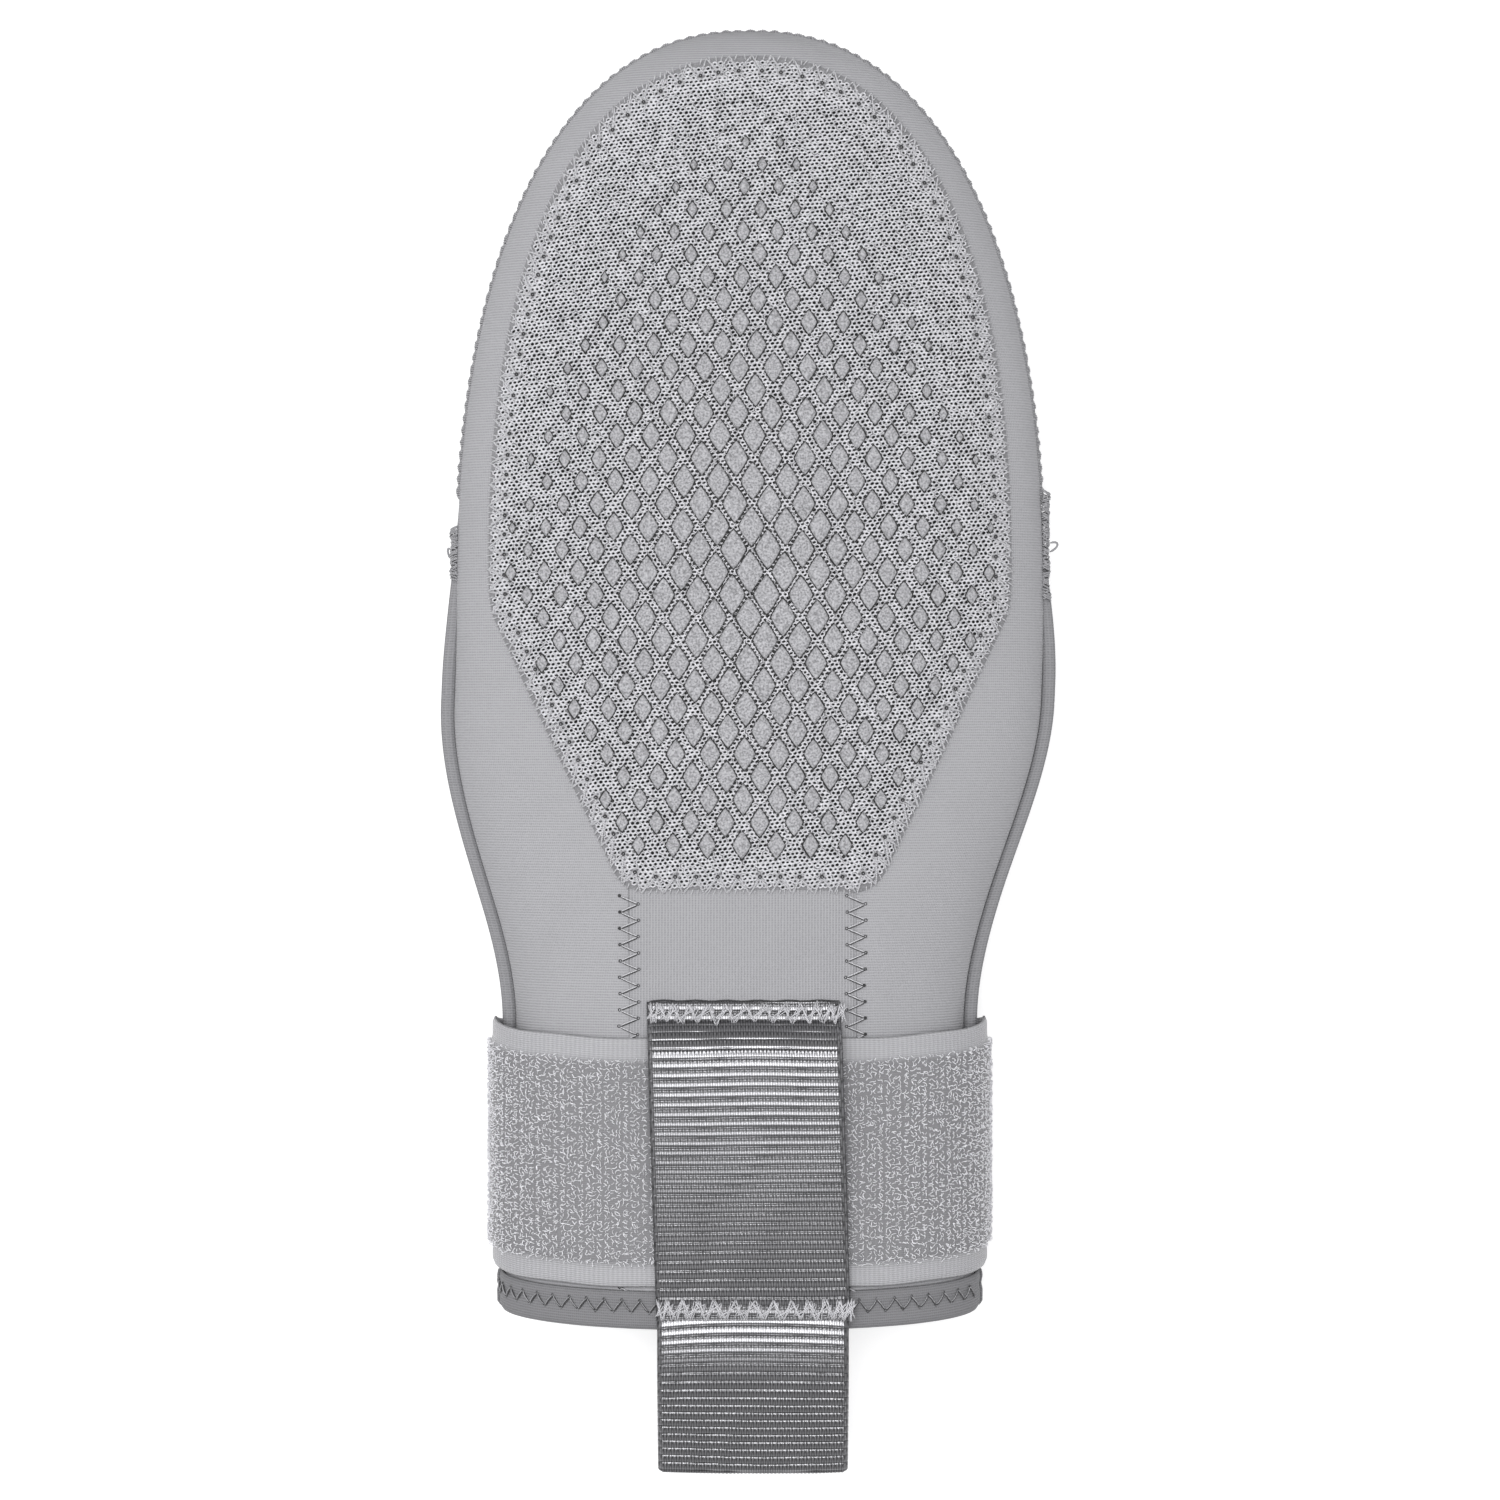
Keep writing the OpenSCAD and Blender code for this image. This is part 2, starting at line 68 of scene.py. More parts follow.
# ---- Sizes from the frame ----
FRONT_LOW, FRONT_HIGH = cad_box("front_shell")
BACK_LOW, BACK_HIGH = cad_box("back_shell")
BAND_LOW, BAND_HIGH = cad_box("strap_band")
SIDE_HIGH = cad_box("strap_side")[1]
TAIL_LOW = cad_box("strap_tail")[0]
KEEPER_LOW, KEEPER_HIGH = cad_box("strap_keeper")
TAB_LOW, TAB_HIGH = cad_box("pull_tab")
PAD_LOW, PAD_HIGH = cad_box("back_cover")
HEM_HIGH = cad_box("back_hem")[1]
PATCH_LOW, PATCH_HIGH = cad_box("hook_patch")

SEAM_Z = (FRONT_LOW[2] + BACK_HIGH[2]) / 2
HALF_W = FRONT_HIGH[0]
TIP_Y = FRONT_HIGH[1]
NEOPRENE_T = 3.0
SLIT_STEP = (BACK_HIGH[0] - BACK_LOW[0]) / 2 - HALF_W
CUFF_X = (BAND_LOW[0] + SIDE_HIGH[0]) / 2
STRAP_T = 2.2
STRAP_GAP = 1.1
STRAP_Y = (BAND_LOW[1] + BAND_HIGH[1]) / 2
STRAP_W = BAND_HIGH[1] - BAND_LOW[1]
CUFF_HALF_W = (SIDE_HIGH[0] - BAND_LOW[0]) / 2 - STRAP_T - STRAP_GAP
CUFF_RISE = BAND_HIGH[2] - STRAP_T - STRAP_GAP - SEAM_Z
CUFF_DEPTH = SEAM_Z - BAND_LOW[2] - STRAP_T - STRAP_GAP
TAIL_SAG = BAND_LOW[2] - TAIL_LOW[2]
HAND_RISE = 0.75 * CUFF_RISE
HAND_DEPTH = SEAM_Z - BACK_LOW[2]
PAD_HALF_W = PAD_HIGH[0]
PAD_TOP_Y = PAD_HIGH[1]
PAD_END_Y = PAD_LOW[1]
COVER_T = PAD_HIGH[2] - PAD_LOW[2]
FOAM_T = 3.0
PAD_RISE = FOAM_T + COVER_T
WEBBING_T = 1.3

# Places along the mitt and exponents of its rounded outlines, as the CAD has them
WIDE_Y = 31.0
FLARE_TOP_Y, FLARE_LOW_Y = 52.0, 14.0
SHIFT_TOP_Y, SHIFT_LOW_Y = 28.0, -32.0
WAIST_TOP_Y = 10.0
CUFF_Y = -56.0
HEM_Y = -113.0
HEM_BOW = 2.7
PAD_Y = 36.0
CUFF_FLARE = 0.8
OUTLINE_P = 2.3
FRONT_P, BACK_P = 2.4, 3.6
FRONT_TAPER_P, BACK_TAPER_P = 3.4, 5.0


# ---- The body's shape ----
def smooth(a, b, v):
    """0 at a and before, 1 at b and past it."""
    u = np.clip((np.asarray(v, float) - a) / (b - a), 0, 1)
    return u * u * (3 - 2 * u)


def sign_pow(v, e):
    return np.sign(v) * np.abs(v) ** e


def stacked(*parts):
    """Points from their coordinates, each an array or a single number."""
    return np.stack(np.broadcast_arrays(*parts), -1)


def run_length(points):
    """How far along a line each of its points lies."""
    return np.concatenate([[0], np.cumsum(np.linalg.norm(np.diff(points, axis=0), axis=1))])


def section_p(side):
    return FRONT_P if side > 0 else BACK_P


def taper_p(side):
    return FRONT_TAPER_P if side > 0 else BACK_TAPER_P


def half_w(side, y):
    """Half-width of a panel at y. side is 1 for the front panel and -1 for the back."""
    w = HALF_W - (HALF_W - CUFF_HALF_W + SLIT_STEP) * smooth(WAIST_TOP_Y, CUFF_Y, y)
    if side > 0:
        return w + CUFF_FLARE * SLIT_STEP * smooth(STRAP_Y, HEM_Y + 8, y)
    return w + SLIT_STEP * smooth(FLARE_TOP_Y, FLARE_LOW_Y, y)


def full_h(side, y):
    """Height of a panel's middle above or below the seam."""
    if side > 0:
        return HAND_RISE + (CUFF_RISE - HAND_RISE) * smooth(WIDE_Y, CUFF_Y, y)
    return HAND_DEPTH + (CUFF_DEPTH - HAND_DEPTH) * smooth(PAD_END_Y + 8, CUFF_Y, y)


def centre_x(y):
    return CUFF_X * smooth(SHIFT_TOP_Y, SHIFT_LOW_Y, y)


def face_z(side, x, y):
    """Height of a panel's outer face."""
    x, y = np.asarray(x, float), np.asarray(y, float)
    k = 1 - np.clip((y - WIDE_Y) / (TIP_Y - WIDE_Y), 0, 1) ** OUTLINE_P
    w = np.maximum(half_w(side, y) * k ** (1 / OUTLINE_P), 0.1)
    h = full_h(side, y) * k ** (1 / taper_p(side))
    r = np.clip(np.abs((x - centre_x(y)) / w), 0, 1)
    return SEAM_Z + side * h * (1 - r ** section_p(side)) ** (1 / section_p(side))


def unit(v):
    return v / np.maximum(np.linalg.norm(v, axis=-1, keepdims=True), 1e-9)


def face_normal(side, x, y):
    """Outward normal of a panel's outer face."""
    step = 0.5
    dx = (face_z(side, x + step, y) - face_z(side, x - step, y)) / (2 * step)
    dy = (face_z(side, x, y + step) - face_z(side, x, y - step)) / (2 * step)
    return unit(stacked(-dx * side, -dy * side, float(side)))


def path_normal(path):
    """Normal of a path, a quarter turn to the left of the way it runs."""
    tangent = unit(np.gradient(path, axis=0))
    return stacked(-tangent[:, 1], tangent[:, 0])


def lumps(x, y, size, seed):
    """Soft unevenness of hand-made cloth, about -1 to 1."""
    rng = np.random.default_rng(seed)
    total = np.zeros(np.broadcast(x, y).shape)
    waves = 7
    for _ in range(waves):
        angle, phase = rng.uniform(0, 2 * math.pi, 2)
        k = 2 * math.pi / (size * rng.uniform(0.7, 1.5))
        total += np.sin(k * (x * math.cos(angle) + y * math.sin(angle)) + phase)
    return total / math.sqrt(waves) / 1.4


# ---- Meshes ----
def grid_faces(rows, cols, wrap=False):
    """Quads between the rows and columns of a grid. wrap joins the last column to the first."""
    i = np.arange(rows - 1)[:, None]
    j = np.arange(cols if wrap else cols - 1)[None, :]
    k = (j + 1) % cols
    return stacked(i * cols + j, i * cols + k, (i + 1) * cols + k, (i + 1) * cols + j).reshape(-1, 4)


def volume(points, face_sets):
    """Six times the volume inside the faces, which is negative when they face inwards."""
    total = 0.0
    for faces in face_sets:
        for k in range(1, faces.shape[1] - 1):
            a, b, c = points[faces[:, 0]], points[faces[:, k]], points[faces[:, k + 1]]
            total += np.einsum("ij,ij->i", a, np.cross(b, c)).sum()
    return total


def piece(name, shape, mat, body="root", uv=None, tone=None, flip=None, replaces=(),
          fold=None):
    """A named mesh piece, made from its points and faces. uv is in millimetres of cloth, and tone darkens
    its colour, mostly as painted shade.

    It rides on a body. Given fold, it rides on none and keeps its place in the world; the places in fold are
    not used."""
    points, face_sets = shape
    if flip is None:
        flip = volume(points - points.mean(0), face_sets) < 0
    if flip:
        face_sets = [f[:, ::-1] for f in face_sets]
    loops = np.concatenate([f.ravel() for f in face_sets]).astype(np.int32)
    sizes = np.concatenate([np.full(len(f), f.shape[1]) for f in face_sets])
    starts = np.concatenate([[0], np.cumsum(sizes)[:-1]]).astype(np.int32)
    mesh = bpy.data.meshes.new(name)
    mesh.vertices.add(len(points))
    mesh.vertices.foreach_set("co", (points * MM).astype(np.float32).ravel())
    mesh.loops.add(len(loops))
    mesh.loops.foreach_set("vertex_index", loops)
    mesh.polygons.add(len(sizes))
    mesh.polygons.foreach_set("loop_start", starts)
    if uv is not None:
        layer = mesh.uv_layers.new(name="cloth")
        flat = np.asarray(uv, float).reshape(-1, 2)[loops]
        layer.data.foreach_set("uv", flat.astype(np.float32).ravel())
    if tone is not None:
        attribute = mesh.attributes.new("tone", "FLOAT", "POINT")
        attribute.data.foreach_set("value", np.asarray(tone, np.float32).ravel())
    mesh.update(calc_edges=True)
    mesh.validate()
    mesh.shade_smooth()
    mesh.materials.append(mat)
    obj = bpy.data.objects.new(name, mesh)
    bpy.context.scene.collection.objects.link(obj)
    if not fold:
        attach(obj, body)
    if replaces:
        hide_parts(*replaces)
    if fold:
        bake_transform(obj)
    return obj


# How far a sheet's rounded side stands out, as a share of its thickness
SIDE_BULGE = 0.35


def closed_sheet(outer, inner):
    """The shape and cloth coordinates of a sheet between two grids, with rounded sides and closed ends."""
    rows, cols = outer.shape[:2]
    thick = np.linalg.norm(outer - inner, axis=-1)
    middle = (outer + inner) / 2

    def edge(line, neighbour, t):
        return line + unit(line - neighbour) * (t[..., None] * SIDE_BULGE)

    left = edge(middle[:, 0], middle[:, 1], thick[:, 0])
    right = edge(middle[:, -1], middle[:, -2], thick[:, -1])
    ring = np.concatenate([outer, right[:, None], inner[:, ::-1], left[:, None]], axis=1)
    across, along = run_length(outer[rows // 2]), run_length(outer[:, cols // 2])
    u = np.concatenate([across, [across[-1] + 1], across[::-1], [-1]])
    n = ring.shape[1]
    j = np.arange(cols - 1)
    end = [stacked(j, j + 1, 2 * cols - j - 1, 2 * cols - j),
           np.array([[0, 2 * cols, 2 * cols + 1]]), np.array([[cols - 1, cols, cols + 1]])]
    caps = [(part + row * n)[:, ::turn] for part in end for row, turn in ((0, -1), (rows - 1, 1))]
    shape = ring.reshape(-1, 3), [grid_faces(rows, n, wrap=True)] + caps
    return shape, stacked(u[None, :], along[:, None])


# Share of its thickness that a thread keeps where it goes into the cloth
THREAD_END = 0.45


def tubes(paths, radius, sides, up=(0.13, 0.21, 0.97)):
    """The shape of many round threads. paths is threads x points x 3."""
    paths = np.asarray(paths, float)
    count, steps = paths.shape[:2]
    tangent = unit(np.gradient(paths, axis=1))
    side = unit(np.cross(tangent, np.broadcast_to(up, tangent.shape)))
    normal = np.cross(side, tangent)
    angle = np.arange(sides) * 2 * math.pi / sides
    r = np.ones(steps)
    r[0] = r[-1] = THREAD_END
    r = np.asarray(radius)[..., None, None, None] * r[None, :, None, None]
    ring = np.cos(angle)[:, None] * normal[:, :, None] + np.sin(angle)[:, None] * side[:, :, None]
    points = paths[:, :, None] + r * ring
    quads = grid_faces(steps, sides, wrap=True)
    each = np.arange(count)[:, None, None] * steps * sides
    low = np.arange(sides)[::-1]
    high = np.arange(sides) + (steps - 1) * sides
    caps = np.stack([low, high])
    return points.reshape(-1, 3), [(quads + each).reshape(-1, 4), (caps + each).reshape(-1, sides)]


def cups(layers):
    """Many small shapes, each a stack of rings whose last ring is closed. layers holds all their rings."""
    points = np.stack(layers, 1)
    count, rings, sides = points.shape[:3]
    each = np.arange(count)[:, None, None] * sides * rings
    quads = (grid_faces(rings, sides, wrap=True)[None] + each).reshape(-1, 4)
    floors = (np.arange(sides) + sides * (rings - 1) + each).reshape(-1, sides)
    return points.reshape(-1, 3), [quads, floors]


def join(*parts):
    """Several shapes as one."""
    points, sets, start = [], [], 0
    for pts, faces in parts:
        points.append(pts)
        sets += [f + start for f in faces]
        start += len(pts)
    return np.concatenate(points), sets


# Each ring of a needle hole, from its rim inwards: share of the radius, and height over the cloth
HOLE_RINGS = [(1.0, 0.07), (0.65, 0.03), (0.3, -0.25)]


def needle_holes(points, normals, radius):
    """Small dark cups where a needle has drawn the cloth in: painted shade in the needle holes."""
    sides = 8
    a = np.arange(sides) * 2 * math.pi / sides
    across = unit(np.cross(normals, (0.3, 0.9, 0.1)))
    along = np.cross(normals, across)
    spokes = np.cos(a)[:, None] * across[:, None] + np.sin(a)[:, None] * along[:, None]
    points, normals = points[:, None], normals[:, None]
    return cups([points + radius * share * spokes + normals * out for share, out in HOLE_RINGS])


def stitch_paths(a, b, normal, lift, dip, steps=8):
    """Threads from points a to points b that rise over the cloth and dip into it at their ends."""
    s = np.linspace(0, 1, steps)[None, :, None]
    rise = lift * np.sin(math.pi * s) ** 0.6 - dip * (1 - np.sin(math.pi * s)) ** 3
    return a[:, None] * (1 - s) + b[:, None] * s + normal[:, None] * rise


# ---- Materials ----
# The brightest grey level that a cloth may have, so that its highlights keep their shape
BRIGHTEST = 252


class Shader:
    """A principled material and short ways to add nodes to it."""

    def __init__(self, name, roughness=0.8, **sockets):
        self.material = bpy.data.materials.new(name)
        self.material.use_nodes = True
        self.tree = self.material.node_tree
        self.shader = self.tree.nodes["Principled BSDF"]
        self.shader.inputs["Roughness"].default_value = roughness
        for key, value in sockets.items():
            self.shader.inputs[key.replace("_", " ").title().replace("Ior", "IOR")].default_value = value
        self.material.diffuse_color = (0.4, 0.4, 0.42, 1)

    def add(self, kind, inputs=(), **settings):
        made = self.tree.nodes.new("ShaderNode" + kind)
        for key, value in settings.items():
            setattr(made, key, value)
        for key, value in dict(inputs).items():
            if isinstance(value, bpy.types.NodeSocket):
                self.tree.links.new(value, made.inputs[key])
            else:
                made.inputs[key].default_value = value
        return made

    def place(self):
        """Coordinates in millimetres of the row frame."""
        found = self.add("TexCoord").outputs["Object"]
        return self.add("VectorMath", {0: found, "Scale": 1 / MM}, operation="SCALE").outputs[0]

    def cloth(self):
        """Coordinates in millimetres along and across the cloth."""
        return self.add("UVMap", uv_map="cloth").outputs[0]

    def wave(self, vector, axis, pitch, distortion):
        """Ribs of one pitch, 0 to 1."""
        inputs = {"Vector": vector, "Scale": math.pi / 10 / pitch, "Distortion": distortion, "Detail": 1.0}
        return self.add("TexWave", inputs, bands_direction=axis, wave_profile="SIN").outputs["Fac"]

    def noise(self, vector, size, detail=3.0):
        """Noise with features of about one size, 0 to 1."""
        inputs = {"Vector": vector, "Scale": 1 / size, "Detail": detail}
        return self.add("TexNoise", inputs).outputs["Fac"]

    def stretched(self, vector, scale):
        return self.add("VectorMath", {0: vector, 1: scale}, operation="MULTIPLY").outputs[0]

    def maths(self, operation, a, b=0.0, c=0.0):
        return self.add("Math", {0: a, 1: b, 2: c}, operation=operation).outputs[0]

    def crisp(self, value, gain):
        """A 0 to 1 value with more contrast round its middle."""
        return self.maths("MULTIPLY_ADD", value, gain, 0.5 - gain / 2)

    def blend(self, factor, a, b):
        """From a to b by a factor. a and b are colours or numbers."""
        kind, first, result = ("FLOAT", 2, 0) if isinstance(a, float) else ("RGBA", 6, 2)
        return self.add("Mix", {0: factor, first: a, first + 1: b}, data_type=kind).outputs[result]

    def shades(self, factor, level, low, high):
        """From one share of a grey level to another by a factor."""
        return self.blend(factor, grey(level * low), grey(min(level * high, BRIGHTEST)))

    def tinted(self, colour, factor, share, level):
        """A colour that goes a share of the way to a grey level where a factor is 1."""
        return self.blend(self.maths("MULTIPLY", factor, share), colour, grey(level))

    def added(self, a, a_share, b, b_share):
        return self.maths("ADD", self.maths("MULTIPLY", a, a_share), self.maths("MULTIPLY", b, b_share))

    def tone(self):
        return self.add("Attribute", attribute_name="tone").outputs["Fac"]

    def finish(self, colour=None, roughness=None, height=None, depth=0.1, strength=1.0):
        """Links what varies over the surface. depth is the bump's depth in millimetres."""
        links = self.tree.links
        if colour is not None:
            links.new(colour, self.shader.inputs["Base Color"])
        if roughness is not None:
            links.new(roughness, self.shader.inputs["Roughness"])
        if height is not None:
            bump = self.add("Bump", {"Height": height, "Distance": depth * MM, "Strength": strength})
            links.new(bump.outputs[0], self.shader.inputs["Normal"])
        return self.material


def grey(level, blue=0.012):
    """A slightly blue grey of a given brightness on screen, 0 to 255, as a linear colour."""
    v = level / 255
    linear = v / 12.92 if v < 0.04045 else ((v + 0.055) / 1.055) ** 2.4
    return (linear * (1 - blue), linear * (1 - blue * 1.3), linear * (1 + 2.6 * blue), 1.0)


def jersey(name, level, rib_axis="Y", rib_pitch=0.55):
    """Knit nylon bonded to neoprene: fine ribs one way, stitches the other, a little uneven."""
    s = Shader(name, sheen_weight=0.08, sheen_roughness=0.4, specular_ior_level=0.2)
    at = s.cloth()
    ribs = s.wave(at, rib_axis, rib_pitch, distortion=0.35)
    stitches = s.wave(at, "X" if rib_axis == "Y" else "Y", rib_pitch * 0.8, distortion=0.5)
    knit = s.added(ribs, 0.65, stitches, 0.35)
    fuzz = s.noise(at, 0.35, 4)
    height = s.maths("ADD", knit, s.maths("MULTIPLY", fuzz, 0.8))
    patch = s.noise(s.place(), 9.0, 2)
    colour = s.tinted(s.shades(height, level, 0.78, 1.1), patch, 0.22, level * 0.9)
    rough = s.blend(fuzz, 0.72, 0.95)
    return s.finish(colour, rough, height, depth=0.14, strength=0.8)


def mesh_knit(name, light, dark):
    """Open knit: light crests and dark pores. tone darkens the colour towards the pores' floors and in the
    zigzag's creases, as painted shade.
    """
    s = Shader(name, sheen_weight=0.35, sheen_roughness=0.35, specular_ior_level=0.3)
    at = s.place()
    fuzz = s.noise(at, 0.16, 3)
    strands = s.noise(s.stretched(at, (1.0, 2.2, 1.0)), 0.4, 2)
    patch = s.noise(at, 14.0, 2)
    crest = s.tinted(s.shades(s.crisp(strands, 2.2), light, 0.8, 1.1), patch, 0.15, light * 0.84)
    colour = s.blend(s.tone(), crest, grey(dark))
    height = s.maths("ADD", fuzz, strands)
    return s.finish(colour, s.blend(fuzz, 0.6, 0.9), height, depth=0.12)


def suede(name, level):
    """Fine-napped diamonds; tone paints a darker line of shade round them."""
    s = Shader(name, sheen_weight=0.4, sheen_roughness=0.5, specular_ior_level=0.2)
    at = s.place()
    nap = s.noise(at, 0.42, 4)
    patch = s.noise(at, 5.0, 2)
    light = s.tinted(s.shades(s.crisp(nap, 3.0), level, 0.74, 1.24), patch, 0.4, level * 0.9)
    colour = s.blend(s.tone(), light, grey(level * 0.25))
    return s.finish(colour, s.blend(nap, 0.75, 0.98), nap, depth=0.16)


def thread(name, level, roughness=0.55):
    """Twisted nylon thread."""
    s = Shader(name, sheen_weight=0.3, sheen_roughness=0.3, specular_ior_level=0.45)
    at = s.place()
    twist = s.add("TexWave", {"Vector": at, "Scale": 1.1, "Distortion": 2.0}, bands_direction="DIAGONAL")
    ply = s.noise(at, 0.2, 2)
    colour = s.shades(twist.outputs["Fac"], level, 0.86, 1.1)
    return s.finish(colour, s.blend(ply, roughness, 0.85), twist.outputs["Fac"], depth=0.06)


def ribbed_webbing(name, level):
    """Nylon webbing: the ribs are in the mesh, and the warp threads over them are in this bump. tone darkens
    it as painted shade.
    """
    s = Shader(name, metallic=0.78, specular_ior_level=0.9)
    at = s.cloth()
    warp = s.wave(at, "X", 0.51, distortion=0.25)
    ply = s.noise(s.stretched(at, (1.0, 0.35, 1.0)), 0.3, 2)
    streak = s.noise(s.stretched(at, (0.1, 1.0, 1.0)), 1.6, 2)
    light = s.tinted(s.shades(warp, level, 0.74, 1.16), streak, 0.4, level * 0.82)
    colour = s.blend(s.tone(), light, grey(level * 0.4))
    height = s.maths("ADD", warp, s.maths("MULTIPLY", ply, 0.5))
    return s.finish(colour, s.blend(ply, 0.26, 0.38), height, depth=0.02)


def elastic(name, level):
    """Ribbed elastic under the pile, and its smooth edges. tone darkens it under the pile as painted shade.
    """
    s = Shader(name, sheen_weight=0.3, sheen_roughness=0.4, specular_ior_level=0.3)
    at = s.cloth()
    cords = s.wave(at, "X", 1.0, distortion=0.15)
    picks = s.wave(at, "Y", 0.42, distortion=0.3)
    knit = s.added(cords, 0.35, picks, 0.65)
    patch = s.noise(at, 4.0, 3)
    light = s.tinted(s.shades(knit, level, 0.88, 1.07), patch, 0.3, level * 0.92)
    colour = s.blend(s.tone(), light, grey(level * 0.76))
    return s.finish(colour, s.blend(patch, 0.6, 0.85), knit, depth=0.16)


def pile(name, level):
    """Brushed nylon loops."""
    s = Shader(name, sheen_weight=0.5, sheen_roughness=0.3, specular_ior_level=0.4)
    at = s.place()
    strand = s.noise(at, 0.5, 2)
    patch = s.noise(at, 3.0, 3)
    colour = s.tinted(s.shades(s.crisp(strand, 2.0), level, 0.84, 1.16), patch, 0.3, level * 0.9)
    return s.finish(colour, s.blend(strand, 0.45, 0.7))


def moulded(name, level):
    """Matt moulded plastic."""
    s = Shader(name, specular_ior_level=0.4)
    at = s.place()
    grain = s.noise(at, 0.5, 3)
    colour = s.shades(s.noise(at, 12.0, 2), level, 0.94, 1.05)
    return s.finish(colour, s.blend(grain, 0.4, 0.62), grain, depth=0.04)


FRONT_JERSEY = jersey("jersey_front", 152)
BACK_JERSEY = jersey("jersey_back", 131)
INSET_JERSEY = jersey("jersey_inset", 147, rib_axis="X", rib_pitch=0.62)
HEM_JERSEY = jersey("jersey_hem", 117)
LINING = jersey("lining_knit", 120, rib_pitch=0.8)
MESH = mesh_knit("pad_mesh_knit", 242, 24)
MESH_BASE = mesh_knit("pad_base_knit", 150, 90)
SUEDE = suede("pad_suede", 152)
THREAD = thread("sewing_thread", 195)
PAD_THREAD = thread("pad_thread", 190)
TACK_THREAD = thread("tack_thread", 190)
SEAM_THREAD = thread("overlock_thread", 148, roughness=0.7)
# Painted shade: this dark thread colours the needle holes, the grooves beside the zigzags and the shadow at
# the keeper's upper end.
SHADE_PAINT = thread("painted_shade", 62, roughness=0.9)
WEBBING = ribbed_webbing("nylon_webbing", 131)
ELASTIC = elastic("strap_elastic", 172)
PILE = pile("strap_pile", 222)
HOOKS = moulded("hook_plastic", 92)
PLATE = moulded("plate_plastic", 214)


# ---- Neoprene panels and linings ----
# How far a panel's cut edge stays from the seam
SEAM_GAP = 0.1


def section(side, t, y, w, h, bow):
    """Points across a panel or its hem. t is 180 at the left and 0 at the right."""
    t = np.radians(t)
    e = 2 / section_p(side)
    x = centre_x(y) + w * sign_pow(np.cos(t), e)
    z = SEAM_Z + side * (SEAM_GAP + h * np.maximum(np.sin(t), 0) ** e)
    return stacked(x, y - bow * np.sin(t), z)


def panel_grid(side, inset, end_y, tip_rows=60, body_rows=110, cols=150):
    """A panel's surface as a grid: rows run from the fingertips to the hem, columns across."""
    turn = np.radians(np.linspace(89.6, 0, tip_rows))
    reach = TIP_Y - WIDE_Y - inset
    y = WIDE_Y + reach * np.sin(turn) ** (2 / OUTLINE_P)
    w = (half_w(side, y) - inset) * np.cos(turn) ** (2 / OUTLINE_P)
    h = (full_h(side, WIDE_Y) - inset) * np.cos(turn) ** (2 / taper_p(side))
    low = np.linspace(WIDE_Y, end_y, body_rows + 1)[1:]
    y = np.concatenate([y, low])
    w = np.concatenate([w, half_w(side, low) - inset])
    h = np.concatenate([h, full_h(side, low) - inset])
    y, w, h = y[:, None], w[:, None], h[:, None]
    t = np.linspace(180, 0, cols)[None, :]
    return section(side, t, y, w, h, HEM_BOW * smooth(CUFF_Y, HEM_Y, y))


def side_name(side):
    return "front" if side > 0 else "back"


UNEVENNESS = 0.28
# How far the lining lies inside the neoprene, how thick it is, and how far short of the hem it stops
LINING_GAP, LINING_T, LINING_STOP = 1.9, 0.8, 4


def make_panel(side):
    """A neoprene panel, a little uneven, with a softly rounded cut edge."""
    outer = panel_grid(side, 0.0, HEM_Y)
    inner = panel_grid(side, NEOPRENE_T, HEM_Y)
    calm = 1 - smooth(0.8, 1.0, np.abs(np.linspace(-1, 1, outer.shape[1])))
    outer[..., 2] += side * UNEVENNESS * lumps(outer[..., 0], outer[..., 1], 32.0, 3 + side) * calm
    shape, uv = closed_sheet(outer, inner)
    name = side_name(side)
    obj = piece(f"{name}_neoprene", shape, FRONT_JERSEY if side > 0 else BACK_JERSEY,
                uv=uv, replaces=[f"{name}_shell"])


def make_lining(side):
    """The brushed lining that holds the plate."""
    name = side_name(side)
    inset = NEOPRENE_T + LINING_GAP
    outer = panel_grid(side, inset, HEM_Y + LINING_STOP, 40, 60, 80)
    inner = panel_grid(side, inset + LINING_T, HEM_Y + LINING_STOP, 40, 60, 80)
    shape, uv = closed_sheet(outer, inner)
    obj = piece(f"{name}_lining_cloth", shape, LINING, uv=uv, replaces=[f"{name}_lining"])


# ---- Pads ----
PAD_MID = np.array([0.0, 50.0])
PAD_LOW_L = 34.0
PAD_FOOT = 41.0
PAD_CORNER = 8.0
PAD_P = 2.35


def pad_support(grow):
    """How far the pad's outline reaches in each direction, which makes its hull."""
    a = np.radians(np.arange(-12, 193, 1.0))
    b = np.where(np.sin(a) > 0, PAD_TOP_Y - PAD_Y, PAD_LOW_L) + grow
    e = 2 / PAD_P
    oval = stacked((PAD_HALF_W + grow) * sign_pow(np.cos(a), e), PAD_Y + b * sign_pow(np.sin(a), e))
    c = np.radians(np.arange(180, 361, 3.0))
    arc = (PAD_CORNER + grow) * stacked(np.cos(c), np.sin(c))
    feet = [arc + (s * PAD_FOOT / 2, PAD_END_Y + PAD_CORNER) for s in (-1, 1)]
    points = np.concatenate([oval] + feet) - PAD_MID
    angles = np.radians(np.arange(0, 360, 0.5))
    return (points @ stacked(np.cos(angles), np.sin(angles)).T).max(0), angles


def pad_reach(angle, grow=0.0):
    """Distance from the pad's middle to its outline, along each angle."""
    support, angles = pad_support(grow)
    flat = np.asarray(angle, float).ravel()
    out = np.empty(len(flat))
    chunk = 4096
    for start in range(0, len(flat), chunk):
        part = flat[start:start + chunk]
        d = np.cos(part[:, None] - angles[None, :])
        out[start:start + chunk] = np.where(d > 0.2, support / np.maximum(d, 0.2), np.inf).min(1)
    return out.reshape(np.shape(angle))


